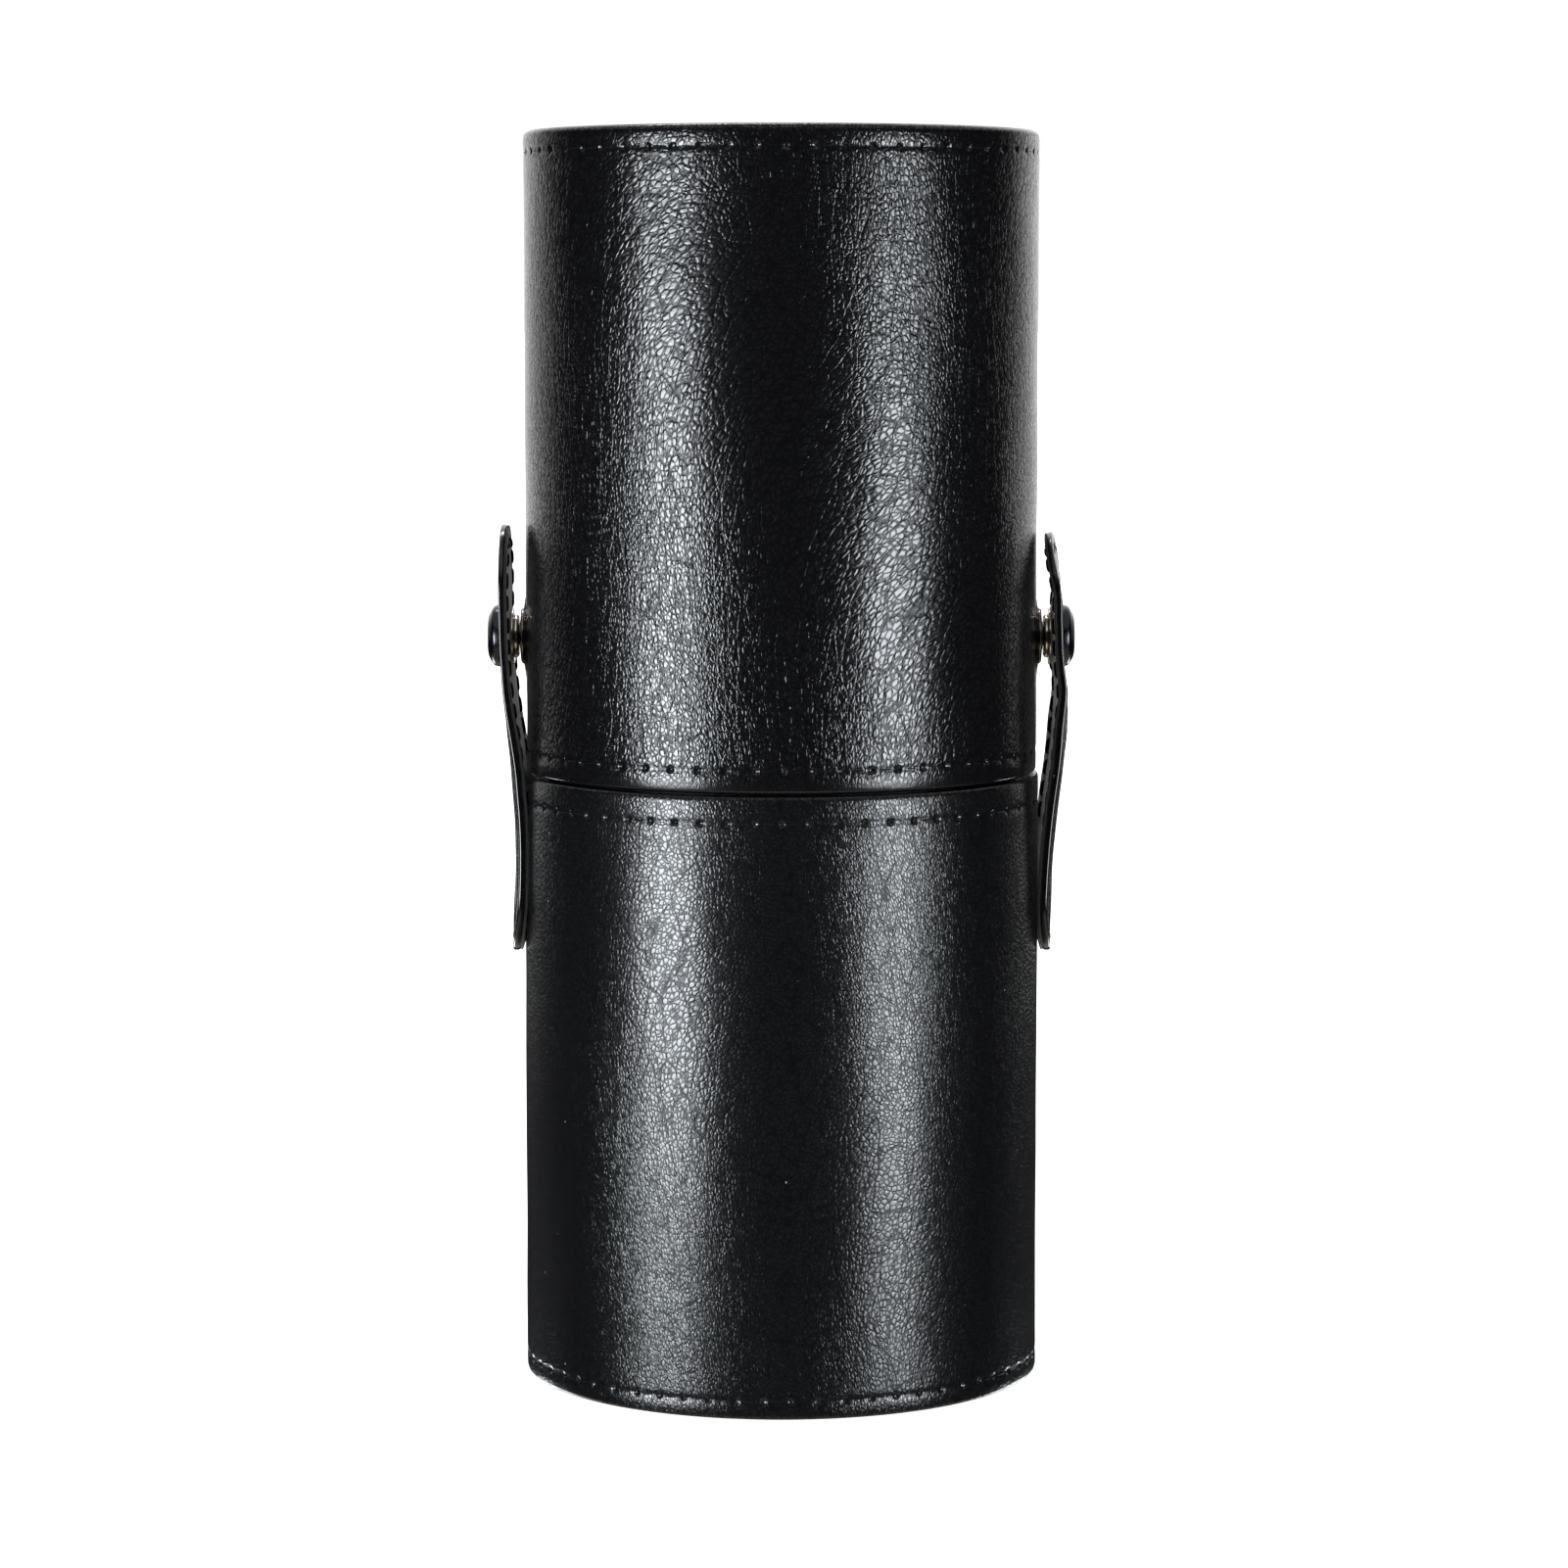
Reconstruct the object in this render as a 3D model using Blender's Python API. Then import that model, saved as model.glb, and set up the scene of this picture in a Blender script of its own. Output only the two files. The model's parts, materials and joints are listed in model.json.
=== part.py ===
"""Tall leather cup case: a base cup with an inner collar, a lid cup that slides over the
collar, and two straps sewn to the base that snap onto the lid.

Metres, +Z up. The origin is the centre of the underside. The straps lie at +X (right) and -X (left).
"""

import math

import bmesh
import bpy
from mathutils import Vector

# Overall sizes
BASE_RADIUS = 0.0460  # outside of the base leather
BASE_HEIGHT = 0.1079  # underside to seam
LID_STEP = 0.0004  # how far the lid's leather stands inside the base's
LID_HEIGHT = 0.1133  # lid rim to lid top

# Clearances
LAYER_GAP = 0.0003  # between layers that are glued or sewn face to face
SLIDE_CLEARANCE = 0.0004  # between the lid's lining and the collar, on the radius
THREAD_GAP = 0.0002  # between a thread and what it lies on
SEAM_GAP = 0.0003  # between the base rim and the lid rim

# Thicknesses of sheet, board and cloth
WRAP_THICKNESS = 0.0010
LID_BOARD_THICKNESS = 0.0016
COLLAR_THICKNESS = 0.0015
LINING_THICKNESS = 0.0005
END_LEATHER_THICKNESS = 0.0012
END_BOARD_THICKNESS = 0.0025
PAD_THICKNESS = 0.0010

# The collar
COLLAR_STAND = 0.0190  # how far it stands above the seam
LINING_SETBACK = 0.0008  # lining ends this far below the collar's top

# Edges of the leather sleeves
CROWN_ROUNDING = 0.0010
LID_RIM_ROUNDING = 0.0020
BASE_RIM_ROUNDING = 0.0009
FOOT_ROUNDING = 0.0008

# Stitch rows on the sleeves
CROWN_ROW_INSET = 0.0038  # from the lid's top
LID_RIM_ROW_INSET = 0.0040  # from the lid's rim
BASE_RIM_ROW_INSET = 0.0047  # from the seam
FOOT_ROW_INSET = 0.0033  # from the underside
GROOVE_DEPTH = 0.0005
GROOVE_FLOOR_WIDTH = 0.0014
GROOVE_MOUTH_WIDTH = 0.0018
THREAD_THICKNESS = 0.0005

# Straps
STRAP_WIDTH = 0.0220
STRAP_LEATHER_THICKNESS = 0.0011
STRAP_BACKING_THICKNESS = 0.0005
CREASE_DROP = 0.0129  # from the seam down to the line on which the strap bends
ROOT_LENGTH = 0.0195  # from the crease down to the strap's sewn end
CREASE_GAP = 0.0006  # between the root and the flap
SNAP_RISE = 0.0243  # from the seam up to the snap's centre
TAB_LENGTH = 0.0190  # from the snap's centre to the strap's tip
TAB_LEAN = 0.0006  # how far the tip leans back towards the lid
STRAP_STITCH_INSET = 0.0024
STRAP_THREAD_WIDTH = 0.0007
STRAP_THREAD_THICKNESS = 0.00035
THREAD_END_SETBACK = 0.0030  # from the crease to the nearest stitch

# Snap fasteners. Heights are measured outwards from the lid's wall.
STUD_FLANGE_RADIUS = 0.0051
STUD_FLANGE_THICKNESS = 0.00055
STUD_NECK_RADIUS = 0.00175
STUD_HEAD_RADIUS = 0.0020
STUD_HEIGHT = 0.00155  # flange back to head top
STUD_SHOULDER_HEIGHT = 0.00012  # the cone that joins the flange to the neck
STUD_NECK_BOTTOM = 0.00031  # from the flange's front to the straight neck
STUD_NECK_TOP = 0.00045  # from the head's top down to the straight neck
STUD_HEAD_EDGE = 0.00023  # from the head's top down to its widest line
EDGE_FLAT = 0.9  # share of a flange's radius that stays flat
RIVET_RADIUS = 0.0010
RIVET_SETBACK = 0.0009  # from the stud's top down to the rivet's end
RIVET_FLANGE_RADIUS = 0.0035
RIVET_FLANGE_THICKNESS = 0.0005
RIVET_FLANGE_GAP = 0.0005  # flat flange against the curved lining
SOCKET_FLANGE_RADIUS = 0.0051
SOCKET_FLANGE_THICKNESS = 0.0003
SOCKET_BARREL_RADIUS = 0.0039
SOCKET_BORE_RADIUS = 0.00245
SOCKET_CEILING_THICKNESS = 0.00022
HEAD_GAP = 0.00023  # stud head to the socket's ceiling
SPRING_RADIUS = 0.00208
SPRING_WIRE_RADIUS = 0.00012
SPRING_DEPTH = 0.0005  # from the stud's top down to the wire's middle
CAP_RADIUS = 0.0056
CAP_HEIGHT = 0.0022
CAP_EDGE_HEIGHT = 0.0004
CAP_UNDERCUT = 0.00015  # how far the cap's back is smaller than its edge
CAP_SHANK_RADIUS = 0.0011
SHANK_REACH = 0.00018  # how far the shank reaches past the socket's outer face

# Fineness
WALL_STEPS = 48
SNAP_STEPS = 20
SPRING_WIRE_STEPS = 6
ROOT_COLUMNS = 6
FLAP_STATIONS = 12
TIP_STATIONS = 6
FILLET_STEPS = 3
DOME_STEPS = 6
SHARP_ANGLE = math.radians(35)
TIP_END_ANGLE = math.radians(84)  # a strap's round end stops in a small flat here
ROOT_EDGE_ANGLES = (0, 30, 60, 78)  # the root's round top edge, also with a small flat

# Places that follow from the sizes above
LID_RADIUS = BASE_RADIUS - LID_STEP
LID_BOTTOM = BASE_HEIGHT + SEAM_GAP
CREASE_HEIGHT = BASE_HEIGHT - CREASE_DROP
SNAP_HEIGHT = BASE_HEIGHT + SNAP_RISE
LID_LINING_INNER = (
    LID_RADIUS - WRAP_THICKNESS - LID_BOARD_THICKNESS - LINING_THICKNESS - 2 * LAYER_GAP
)
COLLAR_RADIUS = LID_LINING_INNER - SLIDE_CLEARANCE
COLLAR_INNER = COLLAR_RADIUS - COLLAR_THICKNESS
STRAP_THICKNESS = STRAP_LEATHER_THICKNESS + LAYER_GAP + STRAP_BACKING_THICKNESS
CREASE_X = BASE_RADIUS + LAYER_GAP + STRAP_THICKNESS / 2
STUD_BACK = LAYER_GAP
STUD_TOP = STUD_BACK + STUD_HEIGHT
SOCKET_CEILING = STUD_TOP + HEAD_GAP
SOCKET_OUTER = SOCKET_CEILING + SOCKET_CEILING_THICKNESS
STRAP_STAND_OFF = SOCKET_OUTER + LAYER_GAP  # strap's inner face at the snap, from the lid's wall
FLAP_RISE = LID_RADIUS + STRAP_STAND_OFF + STRAP_THICKNESS / 2 - CREASE_X
SNAP_REACH = SNAP_HEIGHT - CREASE_HEIGHT
FLAP_LENGTH = SNAP_REACH + TAB_LENGTH


def srgb(hex_colour):
    """A hex colour such as '1a1b1c' as linear red, green, blue and alpha."""
    channels = [int(hex_colour[i : i + 2], 16) / 255 for i in (0, 2, 4)]
    linear = [c / 12.92 if c <= 0.04045 else ((c + 0.055) / 1.055) ** 2.4 for c in channels]
    return (*linear, 1.0)


def make_material(name, hex_colour, roughness, metallic=0.0):
    material = bpy.data.materials.new(name)
    material.use_nodes = True
    shader = material.node_tree.nodes["Principled BSDF"]
    shader.inputs["Base Color"].default_value = srgb(hex_colour)
    shader.inputs["Roughness"].default_value = roughness
    shader.inputs["Metallic"].default_value = metallic
    material.diffuse_color = srgb(hex_colour)
    return material


def make_materials():
    return {
        "lid_leather": make_material("glossy creased leather", "1b1b1c", 0.30),
        "base_leather": make_material("pebbled leather", "1d1d1e", 0.42),
        "strap_leather": make_material("edge-painted strap leather", "19191a", 0.40),
        "strap_backing": make_material("grey strap backing", "8e8c88", 0.95),
        "board": make_material("grey board", "8a8376", 0.90),
        "lining": make_material("black flocked lining", "151516", 0.98),
        "thread": make_material("black bonded thread", "0e0e0f", 0.60),
        "cap_metal": make_material("black nickel", "2b2c2f", 0.22, 1.0),
        "snap_metal": make_material("nickel plate", "c9c5bd", 0.18, 1.0),
        "spring_metal": make_material("spring steel", "8f9092", 0.30, 1.0),
    }


def add_empty(name, location=(0.0, 0.0, 0.0), turn=0.0, parent=None):
    """A plain-axes empty, turned about Z."""
    empty = bpy.data.objects.new(name, None)
    empty.empty_display_size = 0.02
    empty.location = location
    empty.rotation_euler = (0.0, 0.0, turn)
    empty.parent = parent
    bpy.context.scene.collection.objects.link(empty)
    return empty


def add_object(name, bm, material, parent=None):
    """The finished bmesh as an object with outward normals and smooth round sides."""
    bmesh.ops.recalc_face_normals(bm, faces=bm.faces)
    mesh = bpy.data.meshes.new(name)
    bm.to_mesh(mesh)
    bm.free()
    mesh.shade_smooth()
    mesh.set_sharp_from_angle(angle=SHARP_ANGLE)
    obj = bpy.data.objects.new(name, mesh)
    if material:
        mesh.materials.append(material)
    obj.parent = parent
    bpy.context.scene.collection.objects.link(obj)
    return obj


def arc(centre, radius, start, end, steps):
    """Points on an arc of a profile, from one angle to another in degrees, both ends included."""
    angles = [math.radians(start + (end - start) * i / steps) for i in range(steps + 1)]
    return [(centre[0] + radius * math.cos(a), centre[1] + radius * math.sin(a)) for a in angles]


def turned(name, profile, material, parent=None, steps=WALL_STEPS):
    """A solid turned about Z from (radius, height) points. A profile that starts and ends on
    the axis is left open there, and any other is closed into a ring."""
    bm = bmesh.new()
    points = [bm.verts.new((radius, 0.0, height)) for radius, height in profile]
    edges = [bm.edges.new(pair) for pair in zip(points, points[1:])]
    if profile[0][0] > 0.0:
        edges.append(bm.edges.new((points[-1], points[0])))
    bmesh.ops.spin(
        bm, geom=points + edges, cent=(0, 0, 0), axis=(0, 0, 1), angle=math.tau, steps=steps, use_merge=True
    )
    bmesh.ops.remove_doubles(bm, verts=bm.verts, dist=1e-6)
    return add_object(name, bm, material, parent)


def tube(name, inner, outer, bottom, top, material, parent=None):
    profile = [(inner, bottom), (inner, top), (outer, top), (outer, bottom)]
    return turned(name, profile, material, parent)


def disc(name, radius, bottom, top, material, parent=None):
    return turned(name, [(0.0, top), (radius, top), (radius, bottom), (0.0, bottom)], material, parent)


def lay_outwards(obj, location):
    """Stands a turned piece on its side, with its axis pointing out along X."""
    obj.location = location
    obj.rotation_euler = (0.0, math.pi / 2, 0.0)
    return obj


def groove(radius, height):
    """The four points of a stitch groove in a sleeve's outside, from the top down."""
    mouth, floor = GROOVE_MOUTH_WIDTH / 2, GROOVE_FLOOR_WIDTH / 2
    bed = radius - GROOVE_DEPTH
    upper = [(radius, height + mouth), (bed, height + floor)]
    lower = [(bed, height - floor), (radius, height - mouth)]
    return upper + lower


def sleeve(name, radius, height, lip_inner, lip_on_top, roundings, rows, material, parent):
    """A leather sleeve with stitch grooves and a lip that turns in over the board's edge.
    Its two roundings are those of its top and bottom edges."""
    top_rounding, bottom_rounding = roundings
    inner = radius - WRAP_THICKNESS
    profile = arc((radius - top_rounding, height - top_rounding), top_rounding, 90, 0, FILLET_STEPS)
    for row in sorted(rows, reverse=True):
        profile += groove(radius, row)
    profile += arc((radius - bottom_rounding, bottom_rounding), bottom_rounding, 0, -90, FILLET_STEPS)
    if lip_on_top:
        under = height - WRAP_THICKNESS
        profile += [(inner, 0.0), (inner, under), (lip_inner, under), (lip_inner, height)]
    else:
        profile += [(lip_inner, 0.0), (lip_inner, WRAP_THICKNESS), (inner, WRAP_THICKNESS), (inner, height)]
    return turned(name, profile, material, parent)


def thread_ring(name, radius, height, material, parent=None):
    """A row of stitches as one plain ring that lies in its groove."""
    inner = radius - GROOVE_DEPTH + THREAD_GAP
    half = GROOVE_FLOOR_WIDTH / 2 - THREAD_GAP
    return tube(name, inner, inner + THREAD_THICKNESS, height - half, height + half, material, parent)


def flap_place(height, across, out):
    """A point of the flap, relative to the crease: it rises in a quarter sine wave from the
    crease to the snap, and its tab leans back by a parabola above."""
    if height <= SNAP_REACH:
        angle = math.pi / 2 * height / SNAP_REACH
        middle = FLAP_RISE * math.sin(angle)
        slope = FLAP_RISE * math.cos(angle) * math.pi / 2 / SNAP_REACH
    else:
        along = (height - SNAP_REACH) / TAB_LENGTH
        middle = FLAP_RISE - TAB_LEAN * along**2
        slope = -2 * TAB_LEAN * along / TAB_LENGTH
    tilt = math.atan(slope)
    return Vector((middle + out * math.cos(tilt), across, height - out * math.sin(tilt)))


def root_place(height, across, out):
    """A point of the strap's root, which is wrapped on the base's wall."""
    angle = across / CREASE_X
    radius = CREASE_X + out
    return Vector((radius * math.cos(angle), radius * math.sin(angle), height))


def loft(name, rings, material, parent):
    """A closed solid through equal loops of points, capped at both ends."""
    bm = bmesh.new()
    loops = [[bm.verts.new(point) for point in ring] for ring in rings]
    for lower, upper in zip(loops, loops[1:]):
        for i in range(len(lower)):
            j = (i + 1) % len(lower)
            bm.faces.new((lower[i], lower[j], upper[j], upper[i]))
    bm.faces.new(loops[0])
    bm.faces.new(loops[-1])
    return add_object(name, bm, material, parent)


def strap_plate(name, place, stations, columns, material, parent):
    """A strap layer. Each station is its height, half width, inner face and outer face."""
    rings = []
    for height, half_width, inside, outside in stations:
        across = [half_width * (2 * i / columns - 1) for i in range(columns + 1)]
        ring = [place(height, y, outside) for y in across]
        ring += [place(height, y, inside) for y in reversed(across)]
        rings.append(ring)
    return loft(name, rings, material, parent)


def round_end(bend, direction):
    """Heights and half widths of a strap's half-round end, from its full width to its tip."""
    half = STRAP_WIDTH / 2
    angles = [TIP_END_ANGLE * i / TIP_STATIONS for i in range(TIP_STATIONS + 1)]
    return [(bend + direction * half * math.sin(a), half * math.cos(a)) for a in angles]


def stitch_line(start, bend, direction, offset):
    """Heights and places across of a U-shaped seam, offset from the strap's middle line."""
    line = [(start + (bend - start) * i / FLAP_STATIONS, -offset) for i in range(FLAP_STATIONS)]
    turns = [math.pi * i / (2 * TIP_STATIONS) for i in range(2 * TIP_STATIONS + 1)]
    line += [(bend + direction * offset * math.sin(a), -offset * math.cos(a)) for a in turns]
    line += [(start + (bend - start) * i / FLAP_STATIONS, offset) for i in reversed(range(FLAP_STATIONS))]
    return line


def strap_thread(name, place, start, bend, direction, inside, outside, material, parent):
    """The edge stitching of a strap as one plain ribbon."""
    middle = STRAP_WIDTH / 2 - STRAP_STITCH_INSET
    half = STRAP_THREAD_WIDTH / 2
    far_edge = stitch_line(start, bend, direction, middle + half)
    near_edge = stitch_line(start, bend, direction, middle - half)
    rings = [
        [place(*far, inside), place(*far, outside), place(*near, outside), place(*near, inside)]
        for far, near in zip(far_edge, near_edge)
    ]
    return loft(name, rings, material, parent)


def cylinder_cutter(name, radius, start, end, location, parent):
    """A hidden cylinder along X for a Boolean, from one distance out to another."""
    profile = [(0.0, end), (radius, end), (radius, start), (0.0, start)]
    cutter = lay_outwards(turned(name, profile, None, parent, SNAP_STEPS), location)
    cutter.hide_render = True
    cutter.display_type = "WIRE"
    return cutter


def cut(obj, cutter):
    modifier = obj.modifiers.new(cutter.name, "BOOLEAN")
    modifier.operation = "DIFFERENCE"
    modifier.solver = "EXACT"
    modifier.object = cutter


def build_base(materials):
    """The base cup: sleeve, board, bottom, collar, lining and the two stitch rows."""
    wrap_inner = BASE_RADIUS - WRAP_THICKNESS
    board_inner = COLLAR_RADIUS + LAYER_GAP
    board_bottom = END_LEATHER_THICKNESS + LAYER_GAP
    board_top = BASE_HEIGHT - WRAP_THICKNESS - LAYER_GAP
    floor_bottom = board_bottom + END_BOARD_THICKNESS + LAYER_GAP
    collar_top = BASE_HEIGHT + COLLAR_STAND
    rim_row = BASE_HEIGHT - BASE_RIM_ROW_INSET
    rows = (rim_row, FOOT_ROW_INSET)
    sleeve(
        "base_wrap", BASE_RADIUS, BASE_HEIGHT, board_inner, True,
        (BASE_RIM_ROUNDING, FOOT_ROUNDING), rows, materials["base_leather"], None,
    )
    tube("base_board", board_inner, wrap_inner - LAYER_GAP, board_bottom, board_top, materials["board"])
    disc(
        "base_bottom_leather", wrap_inner - LAYER_GAP,
        0.0, END_LEATHER_THICKNESS, materials["base_leather"],
    )
    disc(
        "base_bottom_board", board_inner - LAYER_GAP, board_bottom,
        board_bottom + END_BOARD_THICKNESS, materials["board"],
    )
    tube("collar", COLLAR_INNER, COLLAR_RADIUS, floor_bottom, collar_top, materials["board"])
    lining_outer = COLLAR_INNER - LAYER_GAP
    pad_top = floor_bottom + PAD_THICKNESS
    disc("base_floor_pad", lining_outer, floor_bottom, pad_top, materials["lining"])
    tube(
        "base_lining", lining_outer - LINING_THICKNESS, lining_outer,
        pad_top + LAYER_GAP, collar_top - LINING_SETBACK, materials["lining"],
    )
    thread_ring("base_rim_thread", BASE_RADIUS, rim_row, materials["thread"])
    thread_ring("base_foot_thread", BASE_RADIUS, FOOT_ROW_INSET, materials["thread"])


def build_lid(materials, lid):
    """The lid cup, relative to its rim: sleeve, board, top, lining and the two stitch rows."""
    wrap_inner = LID_RADIUS - WRAP_THICKNESS
    board_outer = wrap_inner - LAYER_GAP
    board_inner = board_outer - LID_BOARD_THICKNESS
    board_top = LID_HEIGHT - END_LEATHER_THICKNESS - LAYER_GAP
    top_board_bottom = board_top - END_BOARD_THICKNESS
    pad_top = top_board_bottom - LAYER_GAP
    crown_row = LID_HEIGHT - CROWN_ROW_INSET
    rows = (crown_row, LID_RIM_ROW_INSET)
    walls = [
        sleeve(
            "lid_wrap", LID_RADIUS, LID_HEIGHT, board_inner, False,
            (CROWN_ROUNDING, LID_RIM_ROUNDING), rows, materials["lid_leather"], lid,
        ),
        tube(
            "lid_board", board_inner, board_outer,
            WRAP_THICKNESS + LAYER_GAP, board_top, materials["board"], lid,
        ),
        tube(
            "lid_lining", LID_LINING_INNER, board_inner - LAYER_GAP,
            LAYER_GAP, pad_top - PAD_THICKNESS - LAYER_GAP, materials["lining"], lid,
        ),
    ]
    disc(
        "lid_top_leather", board_outer,
        LID_HEIGHT - END_LEATHER_THICKNESS, LID_HEIGHT, materials["lid_leather"], lid,
    )
    disc("lid_top_board", board_inner - LAYER_GAP, top_board_bottom, board_top, materials["board"], lid)
    disc("lid_top_pad", board_inner - LAYER_GAP, pad_top - PAD_THICKNESS, pad_top, materials["lining"], lid)
    thread_ring("lid_crown_thread", LID_RADIUS, crown_row, materials["thread"], lid)
    thread_ring("lid_rim_thread", LID_RADIUS, LID_RIM_ROW_INSET, materials["thread"], lid)
    snap_place = (0.0, 0.0, SNAP_HEIGHT - LID_BOTTOM)
    reach = LID_RADIUS + WRAP_THICKNESS
    holes = cylinder_cutter("rivet_holes", RIVET_RADIUS + LAYER_GAP, -reach, reach, snap_place, lid)
    for wall in walls:
        cut(wall, holes)


def build_stud(side, materials, side_frame):
    """The male half of a snap and the rivet that holds it, on the lid's wall."""
    place = (LID_RADIUS, 0.0, SNAP_HEIGHT - LID_BOTTOM)
    flange_front = STUD_BACK + STUD_FLANGE_THICKNESS
    flange_edge = STUD_BACK + STUD_FLANGE_THICKNESS / 2
    flat_radius = STUD_FLANGE_RADIUS * EDGE_FLAT
    shoulder_radius = STUD_NECK_RADIUS + STUD_NECK_BOTTOM
    bore_radius = RIVET_RADIUS + LAYER_GAP
    rivet_top = STUD_TOP - RIVET_SETBACK
    stud_profile = [
        (0.0, STUD_TOP),
        (STUD_HEAD_RADIUS * EDGE_FLAT, STUD_TOP),
        (STUD_HEAD_RADIUS, STUD_TOP - STUD_HEAD_EDGE),
        (STUD_NECK_RADIUS, STUD_TOP - STUD_NECK_TOP),
        (STUD_NECK_RADIUS, flange_front + STUD_NECK_BOTTOM),
        (shoulder_radius, flange_front + STUD_SHOULDER_HEIGHT),
        (flat_radius, flange_front),
        (STUD_FLANGE_RADIUS, flange_edge),
        (flat_radius, STUD_BACK),
        (bore_radius, STUD_BACK),
        (bore_radius, rivet_top + LAYER_GAP),
        (0.0, rivet_top + LAYER_GAP),
    ]
    stud = turned(f"{side}_snap_stud", stud_profile, materials["snap_metal"], side_frame, SNAP_STEPS)
    lay_outwards(stud, place)
    flange_outer = LID_LINING_INNER - RIVET_FLANGE_GAP - LID_RADIUS
    flange_inner = flange_outer - RIVET_FLANGE_THICKNESS
    rivet_profile = [
        (0.0, rivet_top),
        (RIVET_RADIUS, rivet_top),
        (RIVET_RADIUS, flange_outer),
        (RIVET_FLANGE_RADIUS, flange_outer),
        (RIVET_FLANGE_RADIUS * EDGE_FLAT, flange_inner),
        (0.0, flange_inner),
    ]
    rivet = turned(f"{side}_stud_rivet", rivet_profile, materials["snap_metal"], side_frame, SNAP_STEPS)
    lay_outwards(rivet, place)


def build_root(side, materials, side_frame):
    """The sewn lower end of a strap, with a round top edge that clears the flap as it swings."""
    half = STRAP_THICKNESS / 2
    top_centre = CREASE_HEIGHT - STRAP_THICKNESS - CREASE_GAP
    bend = CREASE_HEIGHT - ROOT_LENGTH + STRAP_WIDTH / 2
    stations = [(height, width, -half, half) for height, width in reversed(round_end(bend, -1))]
    for angle in ROOT_EDGE_ANGLES:
        rise, depth = math.sin(math.radians(angle)), math.cos(math.radians(angle))
        stations.append((top_centre + half * rise, STRAP_WIDTH / 2, -half * depth, half * depth))
    strap_plate(
        f"{side}_strap_root", root_place, stations, ROOT_COLUMNS, materials["strap_leather"], side_frame
    )
    thread_start = top_centre - THREAD_END_SETBACK
    thread_inner = half + THREAD_GAP
    strap_thread(
        f"{side}_root_thread", root_place, thread_start, bend, -1,
        thread_inner, thread_inner + STRAP_THREAD_THICKNESS, materials["thread"], side_frame,
    )


def build_flap(side, materials, hinge):
    """The free part of a strap, relative to the crease, with its layers and its two threads."""
    half = STRAP_THICKNESS / 2
    bend = FLAP_LENGTH - STRAP_WIDTH / 2
    outline = [(bend * i / FLAP_STATIONS, STRAP_WIDTH / 2) for i in range(FLAP_STATIONS)]
    outline += round_end(bend, 1)
    layers = (
        ("flap_leather", half - STRAP_LEATHER_THICKNESS, half, "strap_leather"),
        ("flap_backing", -half, STRAP_BACKING_THICKNESS - half, "strap_backing"),
    )
    hole = cylinder_cutter(
        f"{side}_shank_hole", CAP_SHANK_RADIUS + LAYER_GAP, -STRAP_WIDTH / 4, STRAP_WIDTH / 4,
        (FLAP_RISE, 0.0, SNAP_REACH), hinge,
    )
    for piece, inside, outside, slot in layers:
        stations = [(height, width, inside, outside) for height, width in outline]
        cut(strap_plate(f"{side}_{piece}", flap_place, stations, 1, materials[slot], hinge), hole)
    near, far = half + THREAD_GAP, half + THREAD_GAP + STRAP_THREAD_THICKNESS
    threads = (("flap_needle_thread", near, far), ("flap_bobbin_thread", -far, -near))
    for piece, inside, outside in threads:
        strap_thread(
            f"{side}_{piece}", flap_place, THREAD_END_SETBACK, bend, 1,
            inside, outside, materials["thread"], hinge,
        )


def build_snap(side, materials, hinge):
    """The strap's half of a snap: cap with shank, socket and spring. Heights are from the lid's wall."""
    wall_x = LID_RADIUS - CREASE_X
    place = (wall_x, 0.0, SNAP_REACH)
    cap_back = STRAP_STAND_OFF + STRAP_THICKNESS + LAYER_GAP
    dome_height = CAP_HEIGHT - CAP_EDGE_HEIGHT
    dome = [
        (CAP_RADIUS * math.sin(a), cap_back + CAP_EDGE_HEIGHT + dome_height * math.cos(a))
        for a in [math.pi / 2 * i / DOME_STEPS for i in range(DOME_STEPS + 1)]
    ]
    shank_end = SOCKET_OUTER - SHANK_REACH
    cap_profile = [(0.0, dome[0][1])] + dome[1:] + [
        (CAP_RADIUS - CAP_UNDERCUT, cap_back),
        (CAP_SHANK_RADIUS, cap_back),
        (CAP_SHANK_RADIUS, shank_end),
        (0.0, shank_end),
    ]
    cap = turned(f"{side}_snap_cap", cap_profile, materials["cap_metal"], hinge, SNAP_STEPS)
    lay_outwards(cap, place)
    hole_radius = CAP_SHANK_RADIUS + LAYER_GAP
    mouth = STUD_BACK + STUD_FLANGE_THICKNESS + LAYER_GAP
    flange_back = SOCKET_OUTER - SOCKET_FLANGE_THICKNESS
    socket_profile = [
        (hole_radius, SOCKET_OUTER),
        (SOCKET_FLANGE_RADIUS, SOCKET_OUTER),
        (SOCKET_FLANGE_RADIUS, flange_back),
        (SOCKET_BARREL_RADIUS, flange_back),
        (SOCKET_BARREL_RADIUS, mouth),
        (SOCKET_BORE_RADIUS, mouth),
        (SOCKET_BORE_RADIUS, SOCKET_CEILING),
        (hole_radius, SOCKET_CEILING),
    ]
    socket = turned(f"{side}_snap_socket", socket_profile, materials["snap_metal"], hinge, SNAP_STEPS)
    lay_outwards(socket, place)
    wire = arc((SPRING_RADIUS, 0.0), SPRING_WIRE_RADIUS, 0, 360, SPRING_WIRE_STEPS)[:-1]
    spring = turned(f"{side}_snap_spring", wire, materials["spring_metal"], hinge, SNAP_STEPS)
    lay_outwards(spring, (wall_x + STUD_TOP - SPRING_DEPTH, 0.0, SNAP_REACH))


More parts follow.
